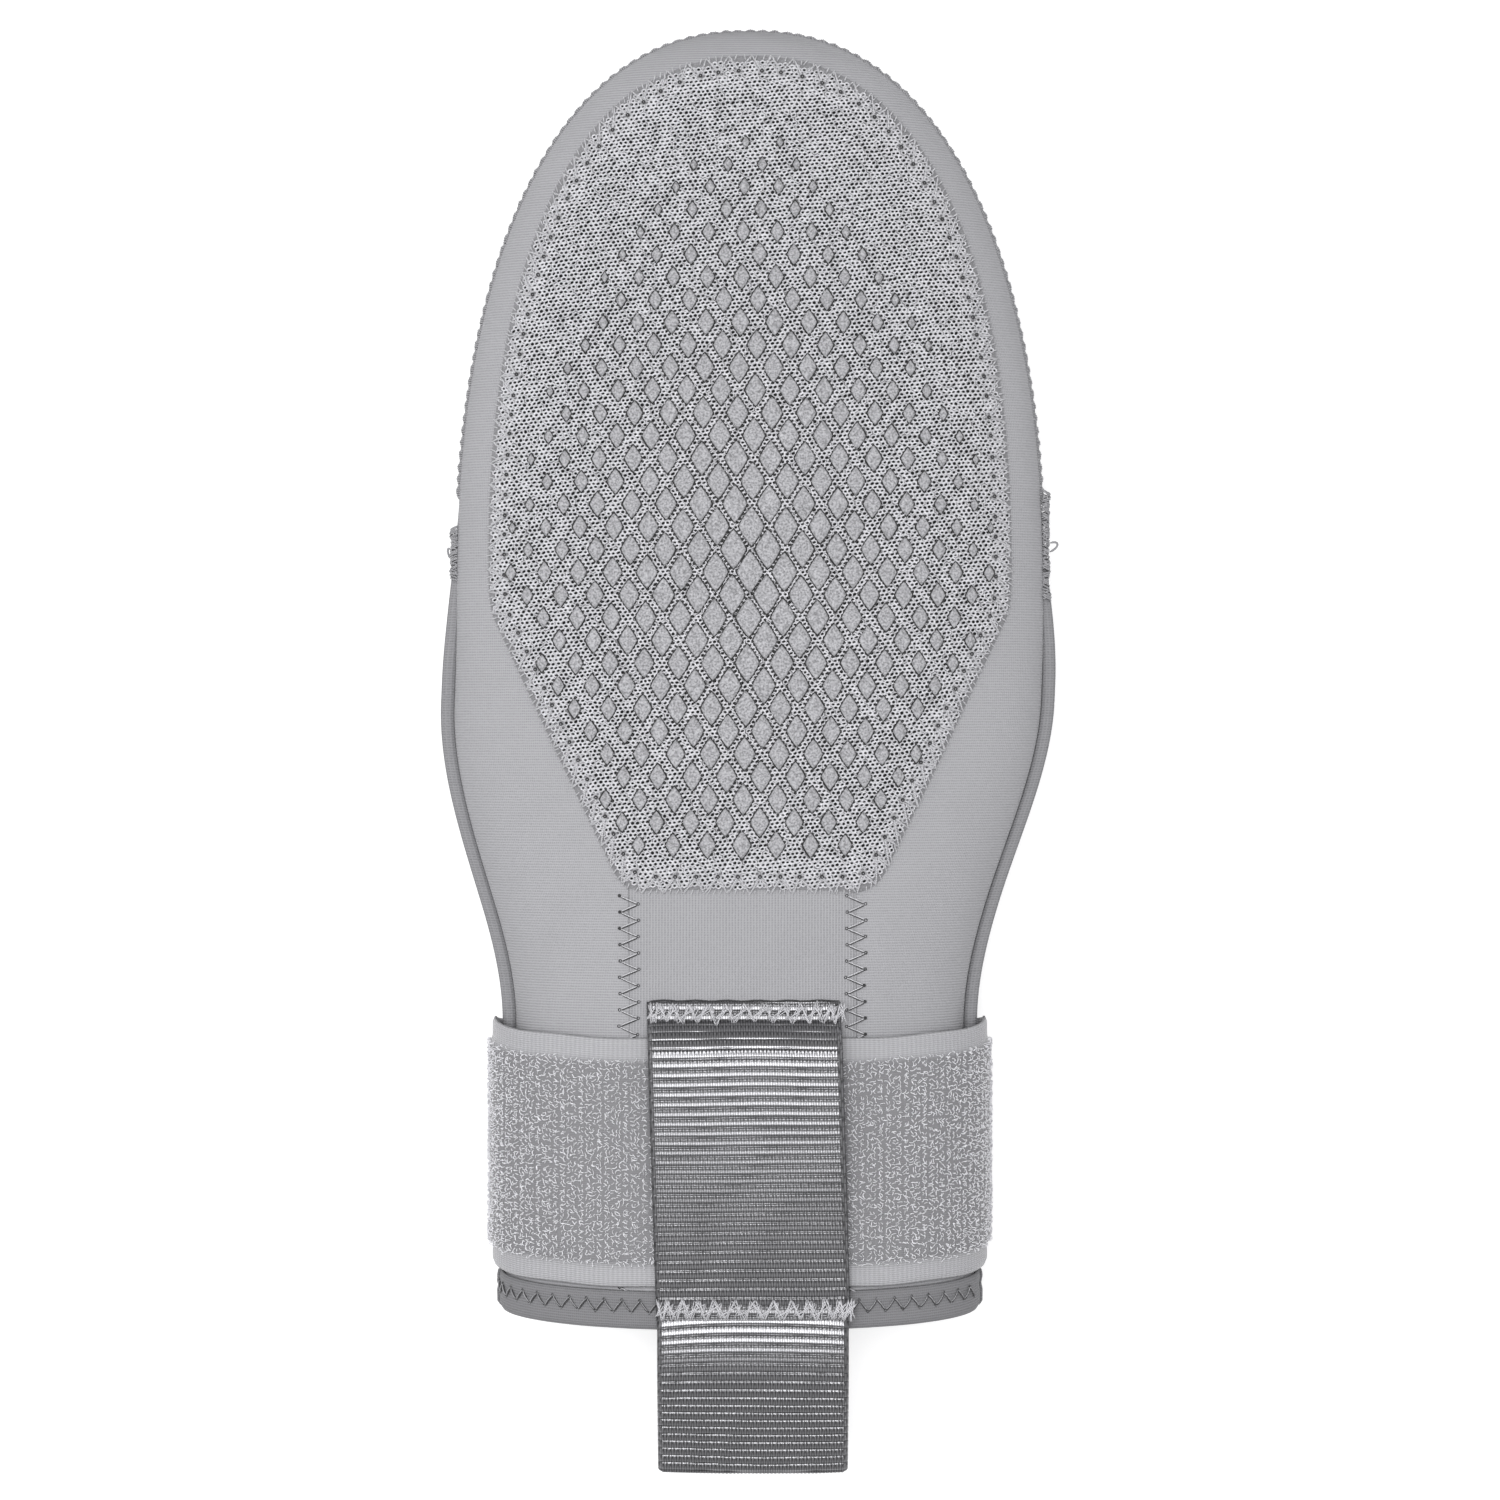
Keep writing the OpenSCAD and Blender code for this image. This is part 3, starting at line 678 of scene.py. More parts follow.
def pad_point(share, angle, grow=0.0):
    r = share * pad_reach(angle, grow)
    return PAD_MID[0] + r * np.cos(angle), PAD_MID[1] + r * np.sin(angle)


REACH_ANGLES = np.linspace(-math.pi, math.pi, 1441)
REACH = pad_reach(REACH_ANGLES)


def pad_share(x, y):
    """0 at the pad's middle and 1 on its outline."""
    dx, dy = x - PAD_MID[0], y - PAD_MID[1]
    return np.hypot(dx, dy) / np.interp(np.arctan2(dy, dx), REACH_ANGLES, REACH)


def even_turns(count):
    """Angles that share the pad's outline evenly."""
    length = run_length(REACH[:, None] * stacked(np.cos(REACH_ANGLES), np.sin(REACH_ANGLES)))
    return np.interp(np.arange(count) * length[-1] / count, length, REACH_ANGLES)


# The zigzag round each pad turns at these places, outside on its edge and inside on its face
ZIGZAGS = 104
ZIGZAG_DEPTH = 3.4
TURNS = even_turns(2 * ZIGZAGS) + RNG.normal(0, 0.0022, 2 * ZIGZAGS)
TURNS_OUT = stacked(*pad_point(1.0, TURNS[::2], 0.1))
TURNS_IN = stacked(*pad_point(1.0, TURNS[1::2], -ZIGZAG_DEPTH))
# How wide the creases are along the zigzag's threads and round its inner turns
LEG_CREASE, TURN_CREASE = 0.42, 0.75
ZIGZAG_RADIUS, WHIP_RADIUS = 0.17, 0.13
WHIPS = 3 * ZIGZAGS


def crease(x, y):
    """1 where the zigzag draws the pad in, falling to 0 beside it."""
    flat_x, flat_y = x.ravel(), y.ravel()
    found = np.zeros(len(flat_x))
    near = np.flatnonzero(pad_share(flat_x, flat_y) > 0.86)
    at = np.stack([flat_x[near], flat_y[near]], -1)
    best = np.zeros(len(near))
    for here, ends in ((TURNS_OUT, TURNS_IN), (TURNS_IN, np.roll(TURNS_OUT, -1, 0))):
        for a, b in zip(here, ends):
            share = np.clip((at - a) @ (b - a) / ((b - a) @ (b - a)), 0, 1)
            gap = np.linalg.norm(at - a - share[:, None] * (b - a), axis=1)
            best = np.maximum(best, 0.6 * np.exp(-(gap / LEG_CREASE) ** 2))
    for a in TURNS_IN:
        best = np.maximum(best, np.exp(-(np.linalg.norm(at - a, axis=1) / TURN_CREASE) ** 2))
    found[near] = best
    return found.reshape(x.shape)


# The pad stands this far over the neoprene at its edge, and its face turns down to it with this power
PAD_EDGE_T, PAD_EDGE_P = 0.9, 11
PAD_SWELL = 0.35
BACK_FACE_Z = 0.5


def pad_z(side, x, y, above):
    """Height of a pad's outer face. It is crowned, and comes down to the neoprene at its edge."""
    edge = np.minimum(pad_share(x, y), 1.0) ** PAD_EDGE_P
    if side < 0:
        return (face_z(-1, x, y) - PAD_EDGE_T) * edge + BACK_FACE_Z * (1 - edge) - above
    swell = PAD_SWELL * lumps(x, y, 26.0, 21) * (1 - edge)
    return face_z(1, x, y) + (PAD_RISE + swell) * (1 - edge) + PAD_EDGE_T * edge + above


def make_pad_base(side):
    """The pad's padded body and rolled edge, under the open knit."""
    shares = 1 - (1 - np.linspace(0.02, 1, 60)) ** 1.8
    angles = np.linspace(0, 2 * math.pi, 361)[:-1]
    s, a = np.meshgrid(shares, angles, indexing="ij")
    x, y = pad_point(s, a)
    top = stacked(x, y, pad_z(side, x, y, -0.6))
    low = top[-1].copy()
    low[:, 2] = face_z(side, low[:, 0], low[:, 1]) - side * 0.4
    points = np.concatenate([top, low[None]]).reshape(-1, 3)
    faces = [grid_faces(len(shares) + 1, len(angles), wrap=True), np.arange(len(angles))[None, ::-1]]
    name = side_name(side)
    obj = piece(f"{name}_pad_body", (points, faces), MESH_BASE, flip=side > 0,
                tone=np.full(len(points), 0.2), replaces=[f"{name}_cover", f"{name}_foam"])


KNIT_PARTS = 4
PORE_X, PORE_Y = 1.01, 0.81
PORE_SLANT = 0.11
TILE_X, TILE_Y = 6.95, 9.2
TILE_W, TILE_H = 5.4, 8.4
TILE_MID_Y = 36.0
TILE_LEAN = 0.03
# How far the diamonds reach across and along, and how square their field is, above and below its middle
FIELD_TOP = (54.0, 98.0, 1.5)
FIELD_LOW = (60.0, 110.0, 1.3)


def tile_places():
    """Middle and size of each diamond: a staggered lattice whose diamonds shrink away from its middle."""
    rows = np.arange(-18, 25)
    cols = np.arange(-9, 10)
    r, c = np.meshgrid(rows, cols, indexing="ij")
    x = (c + 0.5 * (r % 2)) * TILE_X + TILE_LEAN * r * TILE_Y / 2
    y = TILE_MID_Y + r * TILE_Y / 2
    across, along, p = (np.where(r > 0, top, low) for top, low in zip(FIELD_TOP, FIELD_LOW))
    rho = ((np.abs(x) / across) ** p + (np.abs(y - TILE_MID_Y) / along) ** p) ** (1 / p)
    keep = (rho < 0.93) & (pad_share(x, y) < 0.92)
    size = np.clip(1 - rho[keep], 0, 1) ** 0.55
    return x[keep], y[keep], size


def in_tile(x, y, tiles, grow):
    """Whether points lie in any diamond, grown by a length."""
    inside = np.zeros(x.shape, bool)
    for tx, ty, size in zip(*tiles):
        w, h = TILE_W / 2 * size + grow, TILE_H / 2 * size + grow
        inside |= np.abs(x - tx) / w + np.abs(y - ty) / h < 1
    return inside


def make_pad_knit(side, tiles):
    """Open knit over the pad: a honeycomb of pores with raised strands between them."""
    rows = np.arange(int(PAD_END_Y / PORE_Y) - 9, int(PAD_TOP_Y / PORE_Y) + 9)
    cols = np.arange(-int(PAD_HALF_W / PORE_X) - 1, int(PAD_HALF_W / PORE_X) + 2)
    r, c = np.meshgrid(rows, cols, indexing="ij")
    x = (c + 0.5 * (r % 2)) * PORE_X
    y = r * PORE_Y + PORE_SLANT * x
    x = x + 0.12 * lumps(x, y, 9.0, 61) + RNG.normal(0, 0.08, r.shape)
    y = y + 0.12 * lumps(x, y, 9.0, 62) + RNG.normal(0, 0.07, r.shape)
    keep = (pad_share(x, y) < 0.985) & ~in_tile(x, y, tiles, 0.1)
    x, y = x[keep], y[keep]
    for part, chosen in enumerate(np.array_split(np.argsort(y), KNIT_PARTS)):
        knit_part(f"{side_name(side)}_pad_knit_{part + 1}", side, x[chosen], y[chosen])


def knit_part(name, side, x, y):
    """Some of the pores: each is a hexagon of strands round a dark hollow.

    Its rings have a size, a height over the pad and a painted shade, from its crest to its floor."""
    sides = 6
    angle = np.radians(np.arange(sides) * 360 / sides + 30)
    corner = stacked(np.cos(angle) * PORE_X / math.sqrt(3), np.sin(angle) * PORE_Y / 1.5)
    size = RNG.uniform(0.56, 0.8, len(x)) * (1 - 0.1 * smooth(0.9, 0.94, pad_share(x, y)))
    rings = [(1.03, 0.12, 0.0), (size, -0.02, 0.35), (size * 0.78, -0.5, 1.0)]
    squash = RNG.uniform(0.66, 1.05, (len(x), 1))
    slant = RNG.uniform(-0.2, 0.55, (len(x), 1))
    layers = []
    shade_rings = []
    for scale, lift, shade in rings:
        scale = np.broadcast_to(np.asarray(scale, float), x.shape)[:, None]
        uneven = 0.0 if lift > 0 else 1.0
        px = x[:, None] + (corner[:, 0] + uneven * slant * corner[:, 1]) * scale
        py = y[:, None] + corner[:, 1] * scale * (1 + uneven * (squash - 1))
        drawn_in = crease(px, py)
        wobble = side * RNG.normal(0, 0.035, px.shape)
        layers.append(stacked(px, py, pad_z(side, px, py, lift - 0.4 * drawn_in) + wobble))
        # Painted shade: darker towards each pore's floor and where the zigzag draws the pad in.
        shade_rings.append(np.maximum(shade, 0.6 * drawn_in))
    obj = piece(name, cups(layers), MESH, tone=np.stack(shade_rings, 1), flip=side < 0)


# Each ring of a diamond, from its foot to its top: growth of its outline, height over the pad and painted
# shade, dark round the foot
TILE_RINGS = [(0.35, -0.5, 1.0), (0.22, 0.12, 1.0), (0.0, 0.08, 1.0), (-0.06, 0.3, 0.4),
              (-0.22, 0.4, 0.0), (-0.6, 0.44, 0.0)]


def make_tiles(side, tiles):
    """Raised suede diamonds, with painted shade as a dark line round each."""
    x, y, size = tiles
    n = 16
    t = np.arange(n) * 2 * math.pi / n
    layers = []
    shade_rings = []
    for grow, lift, shade in TILE_RINGS:
        w = np.maximum(TILE_W / 2 * size + grow, 0.12)[:, None]
        h = np.maximum(TILE_H / 2 * size + grow * 1.3, 0.12)[:, None]
        px, py = x[:, None] + sign_pow(np.cos(t), 1.7) * w, y[:, None] + sign_pow(np.sin(t), 1.7) * h
        layers.append(stacked(px, py, pad_z(side, px, py, lift)))
        shade_rings.append(np.full(px.shape, shade))
    obj = piece(f"{side_name(side)}_pad_diamonds", cups(layers), SUEDE,
                tone=np.stack(shade_rings, 1), flip=side < 0)


def make_pad_stitching(side):
    """The wide zigzag round the pad, and the short whipped threads over its edge."""
    up = np.array([0.0, 0.0, float(side)])
    outer = np.column_stack([TURNS_OUT, face_z(side, *TURNS_OUT.T) + side * 0.5])
    inner = np.column_stack([TURNS_IN, pad_z(side, *TURNS_IN.T, -0.3)])
    ups = np.broadcast_to(up, outer.shape)
    ends = [(outer, inner), (inner, np.roll(outer, -1, 0))]
    legs = np.concatenate([stitch_paths(a, b, ups, lift=0.5, dip=0.2) for a, b in ends])
    # Each leg follows the rolled edge of the pad
    face = pad_z(side, legs[..., 0], legs[..., 1], -0.28)
    legs[..., 2] = side * np.maximum(side * legs[..., 2], side * face)
    b = even_turns(WHIPS) + RNG.normal(0, 0.002, WHIPS)
    low = stacked(*pad_point(1.0, b, 0.45))
    high = stacked(*pad_point(1.0, b + RNG.normal(0.004, 0.003, WHIPS), -0.9))
    low = np.column_stack([low, face_z(side, *low.T)])
    high = np.column_stack([high, pad_z(side, *high.T, 0.0)])
    whips = stitch_paths(low, high, np.broadcast_to(up, low.shape), 0.45, 0.1, 6)
    name = side_name(side)
    threads = join(tubes(legs, ZIGZAG_RADIUS, 6), tubes(whips, WHIP_RADIUS, 5))
    piece(f"{name}_pad_zigzag", threads, PAD_THREAD, replaces=[f"{name}_cover_stitch"])
    piece(f"{name}_pad_needle_holes", needle_holes(inner + up * 0.32, ups, 0.44), SHADE_PAINT)


# ---- Seams on the body ----
def on_front(x, y, out):
    """Points over the front panel's face."""
    return stacked(x, y, face_z(1, x, y) + out)


INSET_LOW, INSET_HIGH = cad_box("centre_inset")
INSET_X = (INSET_LOW[0] + INSET_HIGH[0]) / 2
INSET_HALF = (INSET_HIGH[0] - INSET_LOW[0]) / 2
# Height of the inset's edges over the panel, how much higher its middle is, and its thickness
INSET_LIFT, INSET_CROWN, INSET_T = 0.25, 0.35, 0.55


def make_inset():
    """The ribbed centre inset, slightly proud between its two seams."""
    rows, cols = 90, 50
    y = np.linspace(INSET_HIGH[1] + 3, INSET_LOW[1], rows)[:, None]
    across = np.linspace(-1, 1, cols)[None, :]
    top = on_front(INSET_X + INSET_HALF * across, y, INSET_LIFT + INSET_CROWN * (1 - across ** 6))
    shape, uv = closed_sheet(top, top - (0, 0, INSET_T))
    obj = piece("inset_panel", shape, INSET_JERSEY, uv=uv, replaces=["centre_inset"])


# Painted shadow: the dark tube along a zigzag thread lies in the groove that the zigzag presses into the
# cloth, a little to one side of its thread
GROOVE_SHADOW = np.array([0.06, -0.2, -0.02])


def zigzag_legs(a, b, up, radius, lift, dip=0.4):
    """One zigzag seam through points a and b in turn."""
    legs = [stitch_paths(a, b, up, lift, dip), stitch_paths(b[:-1], a[1:], up[:-1], lift, dip)]
    return tubes(np.concatenate(legs), radius, 6)


def drawn_cloth(a, b, up, groove):
    """Where a zigzag has drawn the cloth in: painted shade as a dark cup in the needle hole at each turn,
    and a dark groove along each thread.
    """
    return [needle_holes(np.concatenate([a, b]), np.concatenate([up, up]), 0.36),
            zigzag_legs(a + GROOVE_SHADOW, b + GROOVE_SHADOW, up, radius=groove, lift=0.12)]


def make_inset_seams():
    """A zigzag down each side of the inset, from the pad to the strap."""
    parts = []
    holes = []
    pitch = 3.3
    reach = 1.9
    for side in (-1, 1):
        y = np.arange(PAD_END_Y - 0.5, HEM_Y + 4, -pitch)
        x = INSET_X + side * INSET_HALF + RNG.normal(0, 0.1, len(y))
        a = on_front(x - reach, y, 0.3 if side < 0 else 0.5)
        b = on_front(x + reach, y - pitch / 2, 0.5 if side < 0 else 0.3)
        up = face_normal(1, a[:, 0], a[:, 1])
        parts.append(zigzag_legs(a, b, up, radius=0.12, lift=0.35))
        holes += drawn_cloth(a, b, up, 0.15)
    piece("inset_zigzags", join(*parts), THREAD, replaces=["inset_stitches"])
    piece("inset_needle_holes", join(*holes), SHADE_PAINT)


def hem_point(side, t, y, out):
    """A point near the hem: t is 180 at the left and 0 at the right."""
    return section(side, t, y, half_w(side, y) + out, full_h(side, y) + out, HEM_BOW)


# The hem's profile as places along the mitt and heights over the neoprene: down the outer face,
# round the end of the cuff and back up the inside
HEM_L = HEM_HIGH[1] - HEM_Y
HEM_PROFILE = np.array([
    (HEM_L, 0.6), (HEM_L - 0.4, 0.95), (HEM_L - 1.6, 1.15), (HEM_L - 3.1, 0.85), (HEM_L - 4.4, 1.15),
    (-0.6, 1.1), (-1.5, 0.5), (-1.8, -1.5), (-1.4, -3.6), (0.4, -4.1), (3.0, -4.0),
])
HEM_T = 0.7
HEM_ZIGZAG, HEM_ZIGZAG_REACH = 3.7, 1.2


def make_hem(side):
    """The turned hem, folded over the end of the cuff, and its zigzag."""
    name = side_name(side)
    t = np.linspace(180, 0, 120)[None, :]
    steps = np.linspace(0, len(HEM_PROFILE) - 1, 3 * len(HEM_PROFILE))
    line = stacked(*(np.interp(steps, np.arange(len(HEM_PROFILE)), part) for part in HEM_PROFILE.T))
    outer, inner = (np.stack([hem_point(side, t, np.array([[HEM_Y + y]]), out)[0] for y, out in profile])
                    for profile in (line, line + HEM_T * path_normal(line)))
    outer[..., 2] += 0.12 * side * lumps(outer[..., 0], outer[..., 1], 7.0, 40)
    shape, uv = closed_sheet(outer, inner)
    obj = piece(f"{name}_turned_hem", shape, HEM_JERSEY, uv=uv, replaces=[f"{name}_hem"])
    high, low = (HEM_Y + HEM_L / 2 + d for d in (HEM_ZIGZAG_REACH, -HEM_ZIGZAG_REACH))
    fine = np.linspace(176, 4, 2000)
    run = run_length(hem_point(side, fine, high, 1.2))[1:]
    count = int(run[-1] / HEM_ZIGZAG)
    ta, tb = (np.interp((np.arange(count) + d) * HEM_ZIGZAG, run, fine[1:]) for d in (0, 0.5))
    a = hem_point(side, ta, np.full(count, high), 1.2)
    b = hem_point(side, tb, np.full(count, low), 1.15)
    up = unit(a - hem_point(side, ta, np.full(count, high), -1.0))
    piece(f"{name}_hem_zigzag", zigzag_legs(a, b, up, radius=0.1, lift=0.3), SEAM_THREAD,
          replaces=[f"{name}_hem_stitch"])
    piece(f"{name}_hem_needle_holes", join(*drawn_cloth(a, b, up, 0.2)), SHADE_PAINT)


def edge_place(angle, out, z=0.0):
    """A point beside the outline over the fingers. angle is 0 at the right and 180 at the left."""
    a = np.radians(angle)
    e = 2 / OUTLINE_P
    x = (HALF_W + out) * sign_pow(np.cos(a), e)
    y = WIDE_Y + (TIP_Y - WIDE_Y + out) * np.maximum(np.sin(a), 0) ** e
    return stacked(x, y, SEAM_Z + z)


def even_angles(first, last, pitch):
    """Angles that are one pitch apart along the outline."""
    a = np.linspace(first, last, 4000)
    length = run_length(edge_place(a, 0.0))
    return np.interp(np.linspace(0, length[-1], int(length[-1] / pitch)), length, a)


# Angles round the outline where the overlock starts and ends
OVERLOCK_ENDS = (8, 172)
BIGHT_PITCH, BIGHT_RADIUS = 0.42, 0.19
CHAIN_PITCH, CHAIN_RADIUS = 0.7, 0.24
# Height over the seam and distance outside the outline of each chain
CHAINS = [(1.6, -0.9), (-1.6, -0.9), (0.0, 0.25)]


def make_overlock():
    """Overlock thread round the fingers: fine bights over the seam in gentle scallops, and three chains."""
    a = even_angles(*OVERLOCK_ENDS, BIGHT_PITCH)
    n = len(a)
    scallop = np.abs(np.sin(np.arange(n) * math.pi / 6))
    out = 0.55 + 0.5 * scallop + RNG.normal(0, 0.04, n)
    steps = 9
    turn = np.radians(np.linspace(-105, 105, steps))
    base = edge_place(a, -0.35)
    away = unit(edge_place(a, 1.0) - base)
    slant = np.linspace(-0.4, 0.4, steps)[None, :, None]
    skew = unit(np.cross(away, (0, 0, 1)))[:, None] * slant
    wraps = base[:, None] + away[:, None] * np.cos(turn)[None, :, None] * out[:, None, None] + skew
    wraps[..., 2] += np.sin(turn)[None, :] * 1.7 + RNG.normal(0, 0.04, (n, 1))
    parts = [tubes(wraps, BIGHT_RADIUS, 5, up=(0.02, 0.03, 1.0))]
    chain = even_angles(*OVERLOCK_ENDS, CHAIN_PITCH)
    for z, out in CHAINS:
        line = edge_place(chain, out, z)
        line[:, 2] += 0.12 * np.sin(np.arange(len(chain)) * 2.1)
        parts.append(tubes(line[None], CHAIN_RADIUS, 5, up=(0.02, 0.03, 1.0)))
    piece("overlock_seam", join(*parts), SEAM_THREAD, replaces=["edge_overlock"])


# How far the loose loop of each side's bar stands out
LOOP_REACH = {-1: 0.5, 1: 1.6}


def make_tack(name, side):
    """A dense bar of thread over the seam where a side slit starts, with a loose loop."""
    low, high = cad_box(name)
    pitch = 0.24
    n = int((high[1] - low[1]) / pitch)
    y = np.linspace(low[1], high[1], n) + RNG.normal(0, 0.1, n)
    steps = 10
    turn = np.radians(np.linspace(-120, 120, steps))[None, :]
    swell = 0.85 + 0.25 * lumps(np.zeros(n), y, 5.0, 30 + side)
    r = (1.35 * swell + RNG.normal(0, 0.1, n))[:, None]
    x = side * (HALF_W + 0.1 + np.cos(turn) * r)
    z = SEAM_Z + 0.3 + np.sin(turn) * r * 1.5
    slant = RNG.choice([-0.9, 1.2], n) * RNG.uniform(0.5, 1.2, n)
    wraps = stacked(x, y[:, None] + np.linspace(-1, 1, steps)[None, :] * slant[:, None], z)
    bend = np.linspace(0, math.pi, 9)
    loop_x = HALF_W + 1.4 + LOOP_REACH[side] * np.sin(bend)
    loop_y = (low[1] + high[1]) / 2 + 0.9 * np.cos(bend) + 0.6 * np.sin(bend)
    loop = stacked(side * loop_x, loop_y, SEAM_Z + 0.5 * np.cos(bend))
    piece(f"{name}_thread", join(tubes(wraps, 0.17, 5, up=(0.03, 1.0, 0.02)), tubes(loop[None], 0.24, 6)),
          SEAM_THREAD, replaces=[name])


# ---- Strap ----
# Angles round the cuff, 90 at the top and 0 at the right: the fold lines, the sewn end, and the joins
# between the strap's lengths
UPPER_FOLD, LOWER_FOLD = 50.0, -50.0
BAND_START = 285.0
JOINS = (76.0, -4.0, -74.0)
# Height of the elastic's face over the strap's inner face
STRAP_BASE = 1.5
# How far the strap shifts towards the fingers at its sides, and from there to the hem over the front
STRAP_SHIFT, STRAP_BOW = 1.5, 3.4


def ring(t, out, sag=0.0):
    """The strap's path round the cuff, in x and z. t is 90 at the top, 0 at the right."""
    t = np.radians(np.asarray(t, float))
    up = np.sin(t) > 0
    e = np.where(up, 2 / FRONT_P, 2 / BACK_P)
    h = out + np.where(up, CUFF_RISE, CUFF_DEPTH + sag)
    x = CUFF_X + (CUFF_HALF_W + out) * sign_pow(np.cos(t), e)
    return stacked(x, SEAM_Z + h * sign_pow(np.sin(t), e))


def even_path(points, step):
    """A path again with points about one step apart, and how far along it they lie."""
    length = run_length(points)
    s = np.linspace(0, length[-1], max(int(length[-1] / step), 4))
    return stacked(*(np.interp(s, length, part) for part in points.T)), s


def offset(path, normal, height):
    """Both coordinates of a path, moved along its normal by a height at each place across it."""
    return [path[:, k, None] + normal[:, k, None] * height for k in (0, 1)]


def strap_middle(z):
    """The strap's middle along the mitt: it bows towards the hem over the front."""
    rise = np.clip((z - SEAM_Z) / CUFF_RISE, 0, 1)
    fall = np.clip((SEAM_Z - z) / CUFF_DEPTH, 0, 1)
    return STRAP_Y + STRAP_SHIFT * (1 - fall) - STRAP_BOW * rise


def make_strap(name, path, bodies, fold, nodes):
    """A length of elastic with a loop pile on its outer face. path is its inner face, in x and z."""
    path, s = even_path(path, 1.0)
    out = path_normal(path)
    cols = 60
    v = np.linspace(-1, 1, cols)
    edge = smooth(0.81, 0.84, np.abs(v))
    lift = STRAP_BASE - 0.6 * edge - 0.35 * np.clip((np.abs(v) - 0.97) / 0.03, 0, 1) ** 2
    y = strap_middle(path[:, 1])[:, None] + v * STRAP_W / 2 + 0.12 * np.sin(s / 3.1)[:, None] * edge

    def surface(height):
        x, z = offset(path, out, height)
        return stacked(x, y, z)

    shape, uv = closed_sheet(surface(lift[None, :]), surface(np.full((1, cols), 0.1)))
    # Painted shade: the elastic's outer face is darker under the pile than at its bare edges.
    tone = np.tile(np.concatenate([1 - edge, [0], np.zeros(cols), [0]]), (len(path), 1))
    cloth = piece(name, shape, ELASTIC, bodies, uv=uv[..., ::-1], tone=tone, replaces=nodes,
                  fold=fold)
    make_pile(name.replace("strap", "pile", 1), path, out, s, bodies, fold)


def make_pile(name, path, out, s, bodies, fold):
    """Nylon loops in loose columns between the strap's smooth edges."""
    pitch_s, pitch_v = 0.76, 0.78
    column = 1.3
    margin = 4.6
    ns, nv = int(s[-1] / pitch_s), int((STRAP_W - 2 * margin) / pitch_v)
    ss, vv = np.meshgrid((np.arange(ns) + 0.5) * pitch_s, np.linspace(-1, 1, nv), indexing="ij")
    n = ss.size
    ss = ss.ravel() - 0.16 * np.sin(2 * math.pi * ss.ravel() / column) + RNG.normal(0, 0.1, n)
    vv = vv.ravel() * (STRAP_W / 2 - margin) + RNG.normal(0, 0.28, n)
    steps = 7
    lean = RNG.uniform(0, 2 * math.pi, n)
    width = RNG.uniform(0.22, 0.56, n)
    tall = RNG.uniform(0.35, 0.9, n)
    turn = np.linspace(-0.25 * math.pi, 1.25 * math.pi, steps)[None, :]
    along = -np.cos(turn) * width[:, None]
    rise = STRAP_BASE - 0.3 + tall[:, None] * (0.45 + 0.55 * np.sin(turn))
    twist = lean[:, None] + np.linspace(-0.5, 0.5, steps)[None, :]
    at = np.clip(ss[:, None] + along * np.cos(twist), 0, s[-1])
    x = np.interp(at, s, path[:, 0]) + np.interp(at, s, out[:, 0]) * rise
    inner_z = np.interp(at, s, path[:, 1])
    z = inner_z + np.interp(at, s, out[:, 1]) * rise
    y = strap_middle(inner_z) + vv[:, None] + along * np.sin(twist)
    loops = tubes(stacked(x, y, z), RNG.uniform(0.07, 0.11, n), 4, up=(0.31, 0.9, 0.27))
    piece(name, loops, PILE, bodies, fold=fold)


def fold_ends(t, before, after):
    """Points before and after a fold line."""
    path, _ = even_path(ring(np.linspace(t + 30, t - 30, 200), STRAP_GAP + STRAP_T, TAIL_SAG), 0.5)
    here = ring(np.array([t]), STRAP_GAP + STRAP_T, TAIL_SAG)[0]
    k = int(np.argmin(np.linalg.norm(path - here, axis=1)))
    tangent = unit(path[k + 2] - path[k - 2])
    return [(p[0] * MM, STRAP_Y * MM, p[1] * MM) for p in (here - tangent * before, here + tangent * after)]


def make_straps():
    """The strap in four lengths that meet away from its fold lines."""
    first, second, third = JOINS
    band = ring(np.linspace(BAND_START, first, 340), STRAP_GAP)
    upper = ring(np.linspace(first, second, 160), STRAP_GAP, TAIL_SAG)
    lower = ring(np.linspace(second, third, 160), STRAP_GAP, TAIL_SAG)
    tail_arc = ring(np.linspace(third, -90.0, 30), STRAP_GAP, TAIL_SAG)
    tail = np.concatenate([tail_arc, [[TAIL_LOW[0], tail_arc[-1, 1]]]])
    make_strap("strap_front", band, "root", None, ["strap_band"])
    make_strap("strap_shoulder", upper, ["root", "strap_side"], fold_ends(UPPER_FOLD, 5, 7), ["strap_side"])
    make_strap("strap_corner", lower, ["strap_side", "strap_tail"], fold_ends(LOWER_FOLD, 7, 7), [])
    make_strap("strap_end", tail, "strap_tail", None, ["strap_tail"])


def stitch_row(points, fill, lift, dip, radius):
    """Running stitches between points, each reaching a share of the way to the next."""
    a, b = points[:-1], points[:-1] * (1 - fill) + points[1:] * fill
    up = np.broadcast_to((0.0, 0.0, 1.0), a.shape)
    return tubes(stitch_paths(a, b, up, lift, dip, 6), radius, 6)


def make_strap_sewing():
    """The rows that hold the sewn run under the back."""
    low, high = cad_box("strap_anchor_stitch")
    y = np.arange(low[1], high[1], 2.6)
    z = (low[2] + high[2]) / 2
    rows = [stitch_row(stacked(x, y, z), 0.85, 0.12, 0.05, 0.2) for x in (low[0] + 0.2, high[0] - 0.2)]
    piece("strap_anchor_rows", join(*rows), THREAD, replaces=["strap_anchor_stitch"])


